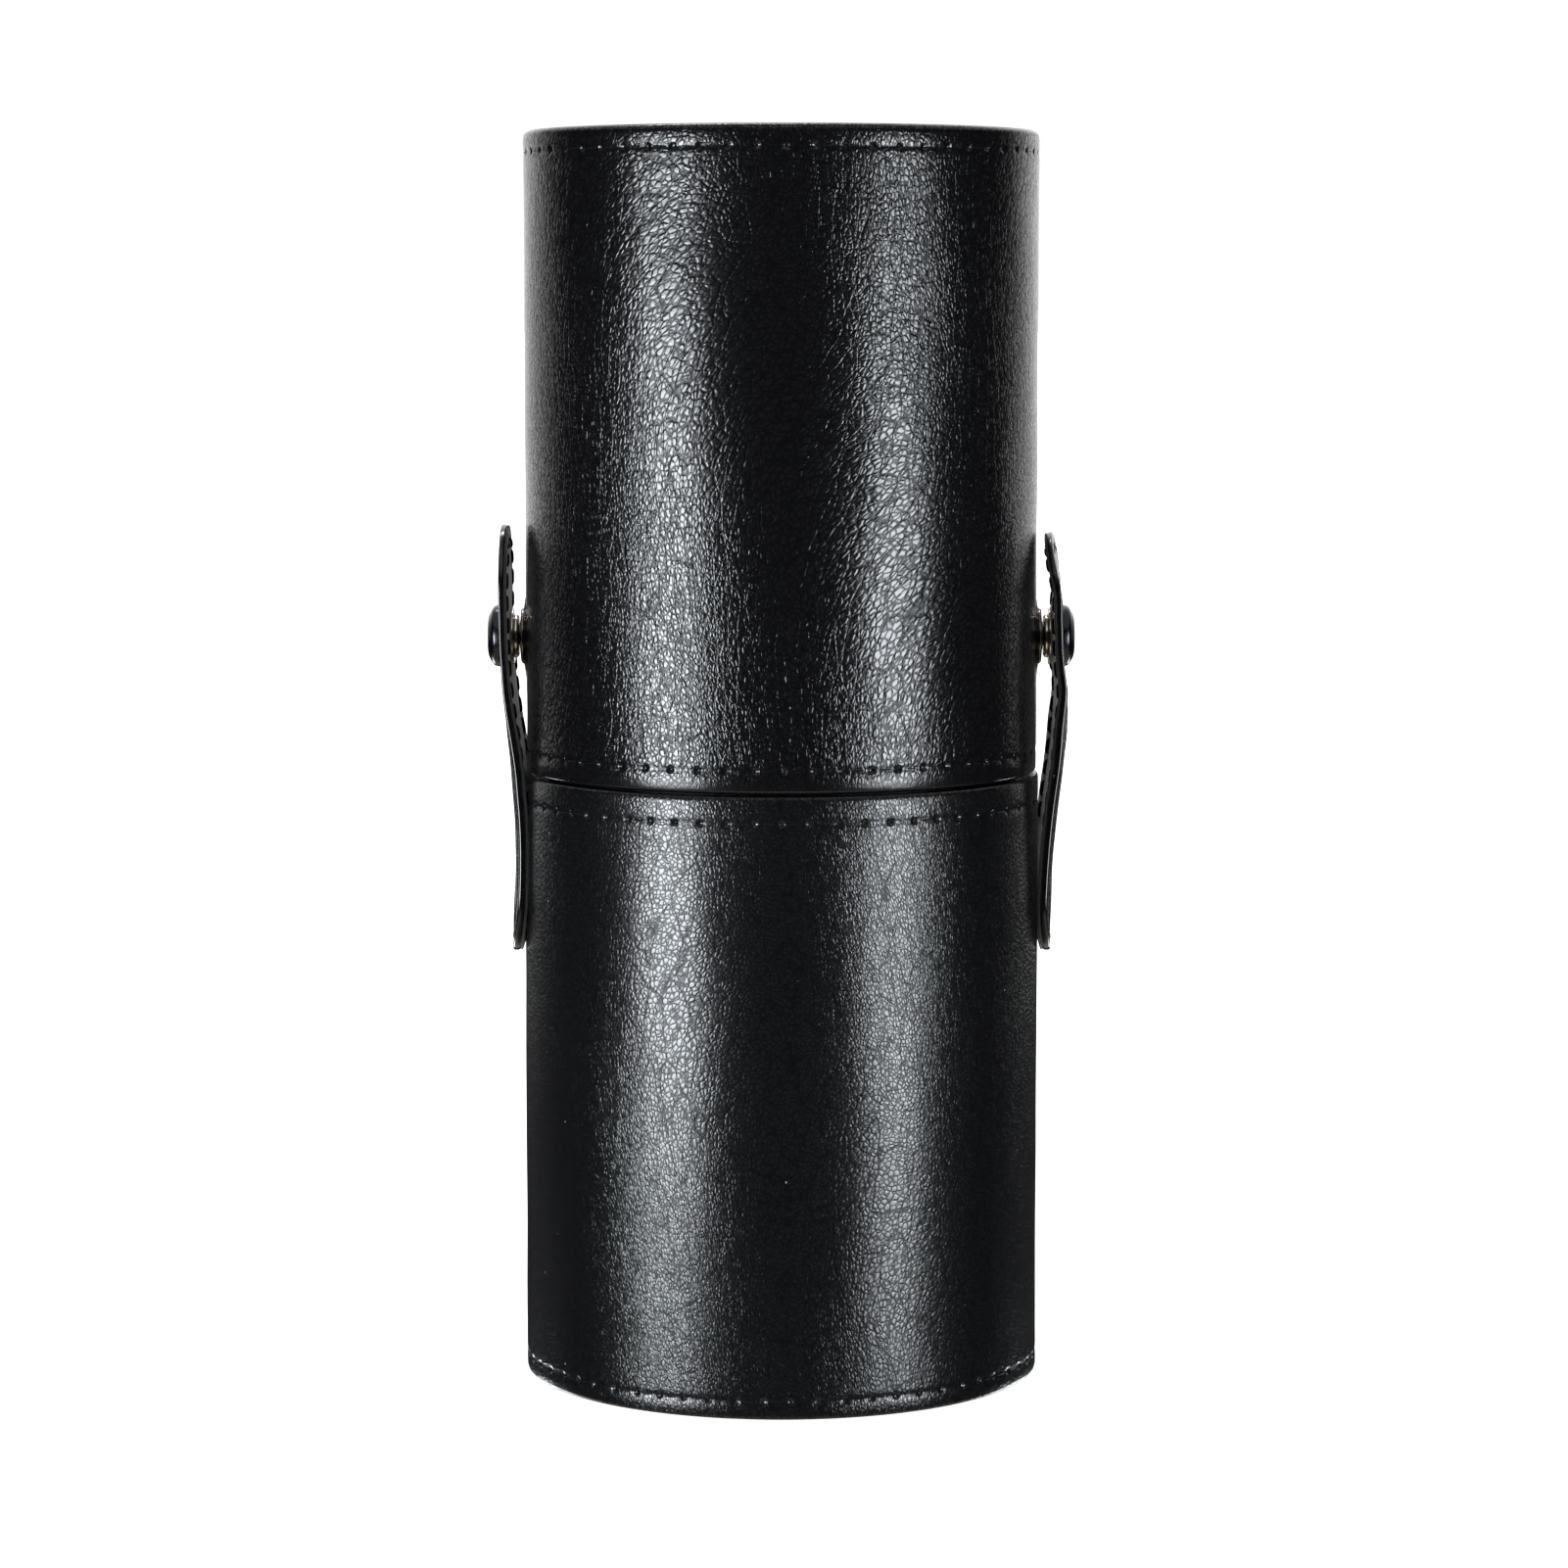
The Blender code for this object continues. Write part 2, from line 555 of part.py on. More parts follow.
def main():
    for obj in list(bpy.data.objects):
        bpy.data.objects.remove(obj, do_unlink=True)
    materials = make_materials()
    build_base(materials)
    lid = add_empty("lid_axis", (0.0, 0.0, LID_BOTTOM))
    build_lid(materials, lid)
    for side, turn in (("right", 0.0), ("left", math.pi)):
        base_side = add_empty(f"{side}_base_side", turn=turn)
        lid_side = add_empty(f"{side}_lid_side", turn=turn, parent=lid)
        hinge = add_empty(f"{side}_strap_hinge", (CREASE_X, 0.0, CREASE_HEIGHT), parent=base_side)
        build_stud(side, materials, lid_side)
        build_root(side, materials, base_side)
        build_flap(side, materials, hinge)
        build_snap(side, materials, hinge)


main()
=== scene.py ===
import json
import math

import bmesh
import bpy
import numpy as np
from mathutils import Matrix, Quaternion, Vector


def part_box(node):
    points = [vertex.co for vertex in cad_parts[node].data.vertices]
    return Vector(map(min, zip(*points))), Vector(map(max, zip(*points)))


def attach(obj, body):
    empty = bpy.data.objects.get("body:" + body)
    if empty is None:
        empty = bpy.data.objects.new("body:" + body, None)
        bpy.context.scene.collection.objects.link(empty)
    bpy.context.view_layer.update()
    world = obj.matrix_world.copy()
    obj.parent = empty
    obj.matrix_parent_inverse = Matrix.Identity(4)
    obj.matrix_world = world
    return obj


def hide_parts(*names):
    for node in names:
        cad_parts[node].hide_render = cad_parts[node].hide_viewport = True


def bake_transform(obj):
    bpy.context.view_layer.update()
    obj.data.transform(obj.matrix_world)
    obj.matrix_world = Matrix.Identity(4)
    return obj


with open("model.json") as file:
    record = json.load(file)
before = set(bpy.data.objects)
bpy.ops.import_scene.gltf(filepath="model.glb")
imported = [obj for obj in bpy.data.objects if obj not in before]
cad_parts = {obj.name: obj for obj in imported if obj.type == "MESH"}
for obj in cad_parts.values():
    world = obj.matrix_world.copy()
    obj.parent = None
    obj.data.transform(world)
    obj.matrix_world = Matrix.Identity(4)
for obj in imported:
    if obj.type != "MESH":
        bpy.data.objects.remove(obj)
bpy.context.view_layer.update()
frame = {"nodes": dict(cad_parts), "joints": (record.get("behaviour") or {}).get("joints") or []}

# Looks for a tall leather dice cup: a base cup, a lid cup and two strap fasteners.
# Sizes are in metres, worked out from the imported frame; mm turns a number in millimetres into metres.
mm = 0.001

cameraView = {
    "place": (0.5 * mm, -847 * mm, 191.4 * mm),
    "aim": (0.5 * mm, 0.0, 105.5 * mm),
    "lens": 108.9,  # millimetres of focal length on the sensor below
    "sensor": 36.0,
}


def addCamera(view):
    data = bpy.data.cameras.new("camera")
    data.lens = view["lens"]
    data.sensor_width = view["sensor"]
    camera = bpy.data.objects.new("camera", data)
    bpy.context.scene.collection.objects.link(camera)
    camera.location = view["place"]
    way = Vector(view["aim"]) - Vector(view["place"])
    camera.rotation_euler = way.to_track_quat("-Z", "Y").to_euler()
    bpy.context.scene.camera = camera


addCamera(cameraView)
print("camera in place")

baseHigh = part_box("base_wrap")[1]
lidLow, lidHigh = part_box("lid_wrap")
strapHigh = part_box("right_flap_leather")[1]
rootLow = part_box("right_strap_root")[0]
capLow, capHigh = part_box("right_snap_cap")
hinge = next(j for j in frame["joints"] if j["name"] == "right_strap_open")

baseRadius, baseTop = baseHigh.x, baseHigh.z
lidRadius, lidBottom, lidTop = lidHigh.x, lidLow.z, lidHigh.z
creaseX, creaseZ = hinge["pos_m"][0], hinge["pos_m"][2]
snapZ = (capLow.z + capHigh.z) / 2
strapHalf = strapHigh.y  # half of the strap's width
tipReach = strapHigh.z - creaseZ  # from the crease up to the strap's tip
rootReach = creaseZ - rootLow.z  # from the crease down to the strap's sewn end


def rowHeight(thread):
    low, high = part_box(thread)
    return (low.z + high.z) / 2


# An sRGB hex colour as linear red, green, blue and alpha.
def linear(hexColour):
    part = np.array([int(hexColour[i : i + 2], 16) for i in (1, 3, 5)]) / 255
    part = np.where(part <= 0.04045, part / 12.92, ((part + 0.055) / 1.055) ** 2.4)
    return (*part.tolist(), 1.0)


def addNode(tree, kind, inputs=None, **settings):
    # inputs maps a socket's name or number to a value, an output, or a node, for its first output
    made = tree.nodes.new("ShaderNode" + kind)
    for key, value in settings.items():
        setattr(made, key, value)
    for key, value in (inputs or {}).items():
        if isinstance(value, bpy.types.Node):
            value = value.outputs[0]
        if isinstance(value, bpy.types.NodeSocket):
            tree.links.new(value, made.inputs[key])
        else:
            made.inputs[key].default_value = value
    return made


def startMaterial(name):
    material = bpy.data.materials.new(name)
    material.use_nodes = True
    material.node_tree.nodes.clear()
    return material, material.node_tree


def closeMaterial(tree, finish):
    surface = addNode(tree, "BsdfPrincipled", finish)
    addNode(tree, "OutputMaterial", {"Surface": surface})


def coatedLeather(name, look):
    # PU-coated split leather: an embossed pebble grain rolled into a black topcoat, drawn tight over board.
    # The eye sees round-topped cells with dark creases between them, a few longer pull creases,
    # and a lacquer that shines on the cell tops and goes dull in the creases.
    material, tree = startMaterial(name)
    hide = addNode(tree, "Attribute", attribute_name="hide").outputs["Vector"]
    grain = addNode(tree, "Attribute", attribute_name="grain").outputs["Fac"]
    drift = addNode(tree, "TexNoise", {"Vector": hide, "Scale": 1 / look["drift"], "Detail": 3.0})
    centred = addNode(tree, "VectorMath", {0: drift.outputs["Color"], 1: (0.5, 0.5, 0.5)},
                      operation="SUBTRACT")
    swayed = addNode(tree, "VectorMath", {0: centred, 1: (look["wander"],) * 3, 2: hide},
                     operation="MULTIPLY_ADD")
    cells = addNode(tree, "TexVoronoi", {"Vector": swayed, "Scale": 1 / look["cell"], "Randomness": 0.9},
                    feature="DISTANCE_TO_EDGE")
    tops = addNode(tree, "MapRange", {"Value": cells.outputs["Distance"], "From Max": look["shoulder"]},
                   interpolation_type="SMOOTHSTEP")
    domes = addNode(tree, "TexVoronoi", {"Vector": swayed, "Scale": 1 / look["cell"], "Randomness": 0.9})
    domed = addNode(tree, "Math", {0: domes.outputs["Distance"], 1: 2.0}, operation="POWER")
    fine = addNode(tree, "TexVoronoi", {"Vector": swayed, "Scale": 1 / look["fineCell"]},
                   feature="SMOOTH_F1")
    pulled = addNode(tree, "Mapping", {"Vector": swayed, "Scale": look["pull"]})
    creases = addNode(tree, "TexVoronoi", {"Vector": pulled, "Scale": 1 / look["crease"]},
                      feature="DISTANCE_TO_EDGE")
    creaseTops = addNode(tree, "MapRange", {"Value": creases.outputs["Distance"],
                                            "From Max": look["creaseWidth"]},
                         interpolation_type="SMOOTHSTEP")
    swell = addNode(tree, "TexNoise", {"Vector": hide, "Scale": 1 / look["swell"], "Detail": 2.0})
    # the crease between two cells fades out here and there, which leaves open squiggles
    openings = addNode(tree, "TexNoise", {"Vector": hide, "Scale": 1 / look["fadeSize"], "Detail": 1.0})
    kept = addNode(tree, "MapRange", {"Value": openings, "From Min": 0.40, "From Max": 0.56,
                                      "To Min": look["faded"]}, interpolation_type="SMOOTHSTEP")
    sunk = addNode(tree, "Math", {0: tops, 1: 1.0}, operation="SUBTRACT")
    height = addNode(tree, "Math", {0: sunk, 1: kept}, operation="MULTIPLY")
    for layer, share in ((domed, -look["domeShare"]),
                         (fine.outputs["Distance"], -look["fineShare"]),
                         (creaseTops, look["creaseShare"]),
                         (swell, look["swellShare"])):
        height = addNode(tree, "Math", {0: layer, 1: share, 2: height}, operation="MULTIPLY_ADD")
    height = addNode(tree, "Math", {0: height, 1: grain}, operation="MULTIPLY")
    bump = addNode(tree, "Bump", {"Height": height, "Distance": look["depth"]})

    # the topcoat shines on the cell tops and on painted or stretched places, and stays dull in the creases;
    # the creases are also drawn in a darker colour, a painted shade
    both = addNode(tree, "Math", {0: tops, 1: creaseTops}, operation="MULTIPLY")
    shade = addNode(tree, "Mix", {0: both, 6: linear(look["creaseShadeColour"]), 7: linear(look["colour"])},
                    data_type="RGBA")
    gloss = addNode(tree, "MapRange", {"Value": both, "To Min": look["creaseRough"],
                                       "To Max": look["rough"]})
    # little light gets into a crease or back out of it
    deep = addNode(tree, "MapRange", {"Value": both, "From Max": 0.6, "To Min": look["creaseShine"],
                                      "To Max": 0.5})
    shine = addNode(tree, "MapRange", {"Value": grain, "From Max": 0.6, "To Min": 0.5, "To Max": deep})
    drawn = addNode(tree, "MapRange", {"Value": grain, "From Max": 0.6, "To Min": look["flatRough"],
                                       "To Max": gloss})
    rub = addNode(tree, "TexNoise", {"Vector": hide, "Scale": 1 / (14 * mm), "Detail": 4.0})
    rough = addNode(tree, "Math", {0: rub, 1: look["rubRough"], 2: drawn}, operation="MULTIPLY_ADD")
    # dust: single specks a quarter of a millimetre wide, drawn only in a few cells
    dust = addNode(tree, "TexVoronoi", {"Vector": hide, "Scale": 1 / (5 * mm)})
    speck = addNode(tree, "MapRange", {"Value": dust.outputs["Distance"], "From Min": look["dust"],
                                       "From Max": look["dust"] * 0.4})
    coloured = addNode(tree, "Mix", {0: speck, 6: shade.outputs[2], 7: linear("#8a8782")}, data_type="RGBA")
    closeMaterial(tree, {"Base Color": coloured.outputs[2], "Roughness": rough, "IOR": look["ior"],
                         "Specular IOR Level": shine, "Normal": bump})
    return material


lidLeatherLook = {
    # the crease colour is painted shade: a darker colour drawn in the creases, where less light reaches
    "colour": "#0a0a0c", "creaseShadeColour": "#050506", "ior": 1.50,
    "rough": 0.13, "creaseRough": 0.20, "creaseShine": 0.12, "rubRough": 0.04, "flatRough": 0.18,
    "cell": 0.84 * mm, "shoulder": 0.30, "depth": 0.030 * mm,  # one grain cell, its sloping edge, its height
    "fadeSize": 1.3 * mm, "faded": 0.30,
    "domeShare": 0.7, "fineCell": 0.34 * mm, "fineShare": 0.35,
    "crease": 2.3 * mm, "creaseWidth": 0.07, "creaseShare": 0.7, "pull": (1.0, 1.0, 0.50),
    "drift": 3.0 * mm, "wander": 0.9 * mm, "swell": 3.2 * mm, "swellShare": 1.2,
    "dust": 0.014,
}
baseLeatherLook = {
    **lidLeatherLook,
    "colour": "#0b0c0e", "creaseShadeColour": "#060607", "rough": 0.15, "creaseRough": 0.22, "rubRough": 0.06,
    "cell": 0.66 * mm, "shoulder": 0.32, "depth": 0.020 * mm, "fineCell": 0.32 * mm,
    "crease": 3.4 * mm, "creaseWidth": 0.045, "creaseShare": 0.5, "swellShare": 1.0, "dust": 0.030,
}
strapLeatherLook = {
    **baseLeatherLook,
    "colour": "#0c0c0d", "cell": 0.8 * mm, "depth": 0.018 * mm,
    "rough": 0.26, "flatRough": 0.13, "dust": 0.016,
}


def feltedBacking(name, colour, rough):
    # Grey non-woven backing: short polyester fibres needled into a mat, so it is matt, with a fuzz that glows
    # where light comes from behind; its cut edge is painted black with the leather's.
    material, tree = startMaterial(name)
    here = addNode(tree, "TexCoord").outputs["Object"]
    # single fibres are 0.02 mm, so the clumps are drawn at 0.35 mm to show
    clumps = addNode(tree, "TexNoise", {"Vector": here, "Scale": 1 / (0.7 * mm), "Detail": 6.0,
                                        "Roughness": 0.7})
    tone = addNode(tree, "MapRange", {"Value": clumps, "From Min": 0.3, "From Max": 0.7, "To Min": 0.70,
                                      "To Max": 1.15})
    shade = addNode(tree, "VectorMath", {0: linear(colour)[:3], "Scale": tone}, operation="SCALE")
    face = addNode(tree, "Attribute", attribute_name="grain").outputs["Fac"]
    painted = addNode(tree, "Mix", {0: face, 6: linear("#0b0b0c"), 7: shade}, data_type="RGBA")
    bump = addNode(tree, "Bump", {"Height": clumps, "Distance": 0.25 * mm, "Strength": 0.8})
    closeMaterial(tree, {"Base Color": painted.outputs[2], "Roughness": rough, "Normal": bump,
                         "Sheen Weight": 0.6, "Sheen Roughness": 0.35, "Sheen Tint": linear("#c8c6c2")})
    return material


def flockedLining(name, colour):
    # Flock: 0.5 mm nylon pile shot into glue, black and very matt, with brushed patches that catch the light,
    # drawn lighter in colour as a painted sheen.
    material, tree = startMaterial(name)
    here = addNode(tree, "TexCoord").outputs["Object"]
    pile = addNode(tree, "TexNoise", {"Vector": here, "Scale": 1 / (0.5 * mm), "Detail": 4.0})
    brushedSheen = addNode(tree, "TexNoise", {"Vector": here, "Scale": 1 / (22 * mm), "Detail": 3.0})
    both = addNode(tree, "Math", {0: pile, 1: brushedSheen}, operation="MULTIPLY")
    # painted sheen: the brushed patches, with the pile, scale the flock's colour from 0.6 to 1.5 times,
    # lightest where they catch the light
    tone = addNode(tree, "MapRange", {"Value": both, "From Min": 0.12, "From Max": 0.4, "To Min": 0.6,
                                      "To Max": 1.5})
    shade = addNode(tree, "VectorMath", {0: linear(colour)[:3], "Scale": tone}, operation="SCALE")
    bump = addNode(tree, "Bump", {"Height": pile, "Distance": 0.2 * mm, "Strength": 0.7})
    closeMaterial(tree, {"Base Color": shade, "Roughness": 0.95, "Normal": bump, "Sheen Weight": 0.6,
                         "Sheen Roughness": 0.4, "Sheen Tint": linear("#55555a")})
    return material


def bondedThread(name, colour):
    # Bonded nylon thread: three plies twisted and glazed, so it is a dull satin with slanting ply lines.
    material, tree = startMaterial(name)
    ply = addNode(tree, "Attribute", attribute_name="hide").outputs["Vector"]
    # plies are 0.2 mm apart, drawn at 0.45 mm so that they show
    lines = addNode(tree, "TexWave", {"Vector": ply, "Scale": 1 / (0.45 * mm) / 3.0, "Distortion": 0.4},
                    bands_direction="X")
    bump = addNode(tree, "Bump", {"Height": lines.outputs["Fac"], "Distance": 0.05 * mm})
    tone = addNode(tree, "Mix", {0: lines.outputs["Fac"], 6: linear("#040405"), 7: linear(colour)},
                   data_type="RGBA")
    closeMaterial(tree, {"Base Color": tone.outputs[2], "Roughness": 0.6, "Normal": bump,
                         "Specular IOR Level": 0.10})
    return material


def platedBrass(name, colour, dark, rough, haze):
    # Stamped brass with a bright plate: near-mirror, with faint stamping haze and tarnish in soft patches.
    material, tree = startMaterial(name)
    here = addNode(tree, "TexCoord").outputs["Object"]
    patch = addNode(tree, "TexNoise", {"Vector": here, "Scale": 1 / (2.5 * mm), "Detail": 5.0})
    tone = addNode(tree, "Mix", {0: patch, 6: linear(dark), 7: linear(colour)}, data_type="RGBA")
    gloss = addNode(tree, "MapRange", {"Value": patch, "To Min": rough + haze, "To Max": rough})
    scratch = addNode(tree, "TexNoise", {"Vector": here, "Scale": 1 / (0.35 * mm), "Detail": 2.0})
    bump = addNode(tree, "Bump", {"Height": scratch, "Distance": 0.004 * mm})
    closeMaterial(tree, {"Base Color": tone.outputs[2], "Metallic": 1.0, "Roughness": gloss,
                         "Normal": bump})
    return material


def greyBoard(name):
    # Recycled grey board: pulp pressed in layers, matt, with flecks of darker and lighter fibre.
    material, tree = startMaterial(name)
    here = addNode(tree, "TexCoord").outputs["Object"]
    pulp = addNode(tree, "TexNoise", {"Vector": here, "Scale": 1 / (1.2 * mm), "Detail": 8.0})
    tone = addNode(tree, "Mix", {0: pulp, 6: linear("#6f695e"), 7: linear("#9a9283")}, data_type="RGBA")
    bump = addNode(tree, "Bump", {"Height": pulp, "Distance": 0.06 * mm})
    closeMaterial(tree, {"Base Color": tone.outputs[2], "Roughness": 0.9, "Normal": bump})
    return material


def coveredBoard(name):
    # Board covered in black bookbinder's paper: smooth and low-sheen, with a faint linen emboss.
    material, tree = startMaterial(name)
    here = addNode(tree, "TexCoord").outputs["Object"]
    emboss = addNode(tree, "TexNoise", {"Vector": here, "Scale": 1 / (0.6 * mm), "Detail": 3.0})
    bump = addNode(tree, "Bump", {"Height": emboss, "Distance": 0.03 * mm})
    tone = addNode(tree, "Mix", {0: emboss, 6: linear("#09090a"), 7: linear("#161617")}, data_type="RGBA")
    closeMaterial(tree, {"Base Color": tone.outputs[2], "Roughness": 0.5, "Normal": bump})
    return material


materials = {
    "lidLeather": coatedLeather("creased_pu_leather", lidLeatherLook),
    "baseLeather": coatedLeather("pebbled_pu_leather", baseLeatherLook),
    "strapLeather": coatedLeather("edge_painted_strap_leather", strapLeatherLook),
    "backing": feltedBacking("grey_felt_backing", "#d2d0ca", 0.95),
    "lining": flockedLining("black_flock", "#29292c"),
    "thread": bondedThread("black_bonded_thread", "#0b0b0c"),
    "blackNickel": platedBrass("black_nickel_plate", "#3c3d42", "#2a2b2f", 0.16, 0.10),
    "nickel": platedBrass("bright_nickel_plate", "#e4e0d8", "#c4bcae", 0.10, 0.12),
    "springSteel": platedBrass("spring_steel", "#9fa0a2", "#77787a", 0.25, 0.10),
    "board": greyBoard("grey_board"),
    "covering": coveredBoard("black_covered_board"),
}
print("materials made")

# One closed mesh from a grid of points, (rows, columns, 3), or from several such grids, (n, rows, columns,
# 3). Each grid cell becomes a quad, points that coincide are merged, and the faces are turned outwards.
def addSurface(name, points, material, aroundRows=False, aroundColumns=True, hide=None, grain=None):
    grids = points if points.ndim == 4 else points[None]
    count, rows, columns = grids.shape[:3]
    i = np.arange(rows - (not aroundRows))[:, None]
    j = np.arange(columns - (not aroundColumns))[None, :]
    k, m = (i + 1) % rows, (j + 1) % columns
    quads = np.stack([i * columns + j, i * columns + m, k * columns + m, k * columns + j], -1).reshape(-1, 4)
    quads = (quads[None] + (np.arange(count) * rows * columns)[:, None, None]).reshape(-1, 4)
    flat = grids.reshape(-1, 3)
    a, b, c, d = (flat[quads[:, n]] for n in range(4))
    volume = np.einsum("ij,ij->i", a, np.cross(b, c)).sum() + np.einsum("ij,ij->i", a, np.cross(c, d)).sum()
    if volume < 0:
        quads = quads[:, ::-1]
    mesh = bpy.data.meshes.new(name)
    mesh.from_pydata(flat.tolist(), [], quads.tolist())
    hide = flat if hide is None else np.broadcast_to(hide, grids.shape).reshape(-1, 3)
    places = mesh.attributes.new("hide", "FLOAT_VECTOR", "POINT").data
    places.foreach_set("vector", hide.astype(np.float32).ravel())
    grain = np.ones(len(flat)) if grain is None else np.broadcast_to(grain, grids.shape[:3]).ravel()
    mesh.attributes.new("grain", "FLOAT", "POINT").data.foreach_set("value", grain.astype(np.float32))
    shell = bmesh.new()
    shell.from_mesh(mesh)
    bmesh.ops.remove_doubles(shell, verts=shell.verts, dist=0.002 * mm)
    bmesh.ops.dissolve_degenerate(shell, edges=shell.edges, dist=0.001 * mm)
    shell.to_mesh(mesh)
    shell.free()
    mesh.shade_smooth()
    mesh.materials.append(material)
    piece = bpy.data.objects.new(name, mesh)
    bpy.context.scene.collection.objects.link(piece)
    return piece


def place(piece, body, slot, *nodes):
    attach(piece, body)
    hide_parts(*nodes)


def smooth(x, start, end):
    # 0 before start and 1 after end, with a soft S between
    t = np.clip((x - start) / (end - start), 0, 1)
    return t * t * (3 - 2 * t)


# A cubic through the knots, whose slope at each knot is that of the line between its neighbours.
def smoothCurve(knots, at):
    x, y = np.array(knots, float).T
    slope = np.gradient(y, x)
    k = np.clip(np.searchsorted(x, at) - 1, 0, len(x) - 2)
    h = x[k + 1] - x[k]
    f = (at - x[k]) / h
    return (y[k] * (1 + 2 * f) * (1 - f) ** 2 + slope[k] * h * f * (1 - f) ** 2
            + y[k + 1] * f * f * (3 - 2 * f) + slope[k + 1] * h * f * f * (f - 1))


# A closed outline, anticlockwise in (radius, height), with an arc of the given radius at each corner.
def roundedOutline(corners, arcSteps=10):
    corners = np.array(corners, float)
    points = []
    for here, before, after in zip(corners, np.roll(corners, 1, 0), np.roll(corners, -1, 0)):
        corner, radius = here[:2], here[2]
        if radius <= 0:
            points.append(corner[None])
            continue
        inward = (before[:2] - corner) / np.linalg.norm(before[:2] - corner)
        outward = (after[:2] - corner) / np.linalg.norm(after[:2] - corner)
        half = math.acos(np.clip(inward @ outward, -1, 1)) / 2
        middle = (inward + outward) / np.linalg.norm(inward + outward)
        centre = corner + middle * radius / math.sin(half)
        start = corner + inward * radius / math.tan(half) - centre
        end = corner + outward * radius / math.tan(half) - centre
        turn = math.atan2(start[0] * end[1] - start[1] * end[0], start @ end)
        angle = math.atan2(start[1], start[0]) + turn * np.linspace(0, 1, arcSteps)
        points.append(centre + radius * np.stack([np.cos(angle), np.sin(angle)], 1))
    return np.concatenate(points)


# The outline resampled: one point per step along it, closer on tight arcs and, on the outer wall, near the
# heights in closer, each with how far that reaches up and down and the step there.
def evenly(outline, step, closer=(), arcStep=0.3 * mm, closed=True):
    loop = np.vstack([outline, outline[:1]]) if closed else outline
    pieceLength = np.linalg.norm(np.diff(loop, axis=0), axis=1)
    pieces = np.maximum(1, np.ceil(pieceLength / (0.1 * mm)).astype(int))
    share = np.concatenate([np.linspace(0, 1, n, endpoint=False) for n in pieces])
    index = np.repeat(np.arange(len(pieces)), pieces)
    dense = loop[index] + share[:, None] * (loop[index + 1] - loop[index])
    spacing = np.full(len(dense), step)
    outer = dense[:, 0] > outline[:, 0].max() - 0.5 * mm
    for height, half, fine in closer:
        near = outer & (np.abs(dense[:, 1] - height) < half)
        spacing[near] = np.minimum(spacing[near], fine)
    onArc = (pieceLength < 0.6 * mm)[index]
    spacing[onArc] = np.minimum(spacing[onArc], arcStep)
    dense = np.vstack([dense, loop[-1:]])
    length = np.linalg.norm(np.diff(dense, axis=0), axis=1)
    used = np.concatenate([[0], np.cumsum(length / spacing)])
    at = np.linspace(0, used[-1], int(round(used[-1])) + 1)
    at = at[:-1] if closed else at
    return np.stack([np.interp(at, used, dense[:, 0]), np.interp(at, used, dense[:, 1])], 1)


def outwardOf(profile, closed=True):
    # the unit normal of a profile that runs anticlockwise
    step = np.roll(profile, -1, 0) - np.roll(profile, 1, 0) if closed else np.gradient(profile, axis=0)
    step = step / np.linalg.norm(step, axis=1, keepdims=True)
    return np.stack([step[:, 1], -step[:, 0]], 1)


# A soft random swell between about -1 and 1: a sum of plane waves in random directions, `size` long.
def ripple(points, size, seed, waves=14):
    random = np.random.default_rng(seed)
    way = random.normal(size=(waves, 3))
    way *= (2 * math.pi / size * random.uniform(0.6, 1.5, waves) / np.linalg.norm(way, axis=1))[:, None]
    phase = random.uniform(0, 2 * math.pi, waves)
    total = np.zeros(points.shape[:-1])
    for k in range(waves):
        total += np.sin(points @ way[k] + phase[k])
    return total / math.sqrt(waves)


# A profile of (radius, height) turned about Z: (r cos a, r sin a, z).
def turned(profile, steps):
    angle = np.linspace(0, 2 * math.pi, steps, endpoint=False)
    r, z = profile[:, 0][:, None], profile[:, 1][:, None]
    return np.stack(np.broadcast_arrays(r * np.cos(angle), r * np.sin(angle), z), -1)


# Round threads along many paths, (n, samples, 3): at each sample a ring of the given radius in the plane of
# the up direction and of its cross product with the path's direction.
def tubes(paths, ups, radii, sides=8):
    along = np.gradient(paths, axis=1)
    along /= np.linalg.norm(along, axis=-1, keepdims=True)
    ups = ups - (ups * along).sum(-1, keepdims=True) * along
    ups /= np.linalg.norm(ups, axis=-1, keepdims=True)
    across = np.cross(along, ups)
    angle = np.linspace(0, 2 * math.pi, sides, endpoint=False)
    ring = ups[:, :, None] * np.cos(angle)[:, None] + across[:, :, None] * np.sin(angle)[:, None]
    return paths[:, :, None] + ring * radii[None, :, None, None]


def plyField(paths, sides=8, pitch=0.9 * mm):
    # where the thread material draws its slanting plies from: length along, plus a share per turn
    run = np.cumsum(np.linalg.norm(np.diff(paths, axis=1, prepend=paths[:, :1]), axis=-1), axis=1)
    around = np.arange(sides) / sides * pitch
    x = run[:, :, None] + around
    return np.stack([x, np.zeros_like(x), np.zeros_like(x)], -1)


sleeveShape = {
    "leather": 1.0 * mm,
    "around": 900,  # columns round a sleeve
    "ripple": 0.055 * mm, "rippleSize": 26 * mm,
    "grooveDepth": 0.09 * mm, "grooveWidth": 0.42 * mm,
    "holeDepth": 0.40 * mm, "holeSize": 0.40 * mm,
    "lip": 0.02 * mm,  # the leather swells beside a row of stitches
}
stitchShape = {
    "thread": 0.20 * mm, "hole": 0.75 * mm,  # radius, and the gap between two stitches at a hole
    "crown": -0.03 * mm, "sink": 0.50 * mm,  # how far a stitch stands past the wall, and dips into its hole
}
# For each row: its thread node in the frame, how many stitches, and the first hole's angle from the front.
sleeveRows = {
    "base": [("base_rim_thread", 61, 0.3), ("base_foot_thread", 61, 2.1)],
    "lid": [("lid_crown_thread", 58, 1.2), ("lid_rim_thread", 57, 0.8)],
}
front = -math.pi / 2


def rowHoles(count, degrees):
    # the angles of a row's holes, the first of them this many degrees from the front
    return front + math.radians(degrees) + np.arange(count) * 2 * math.pi / count


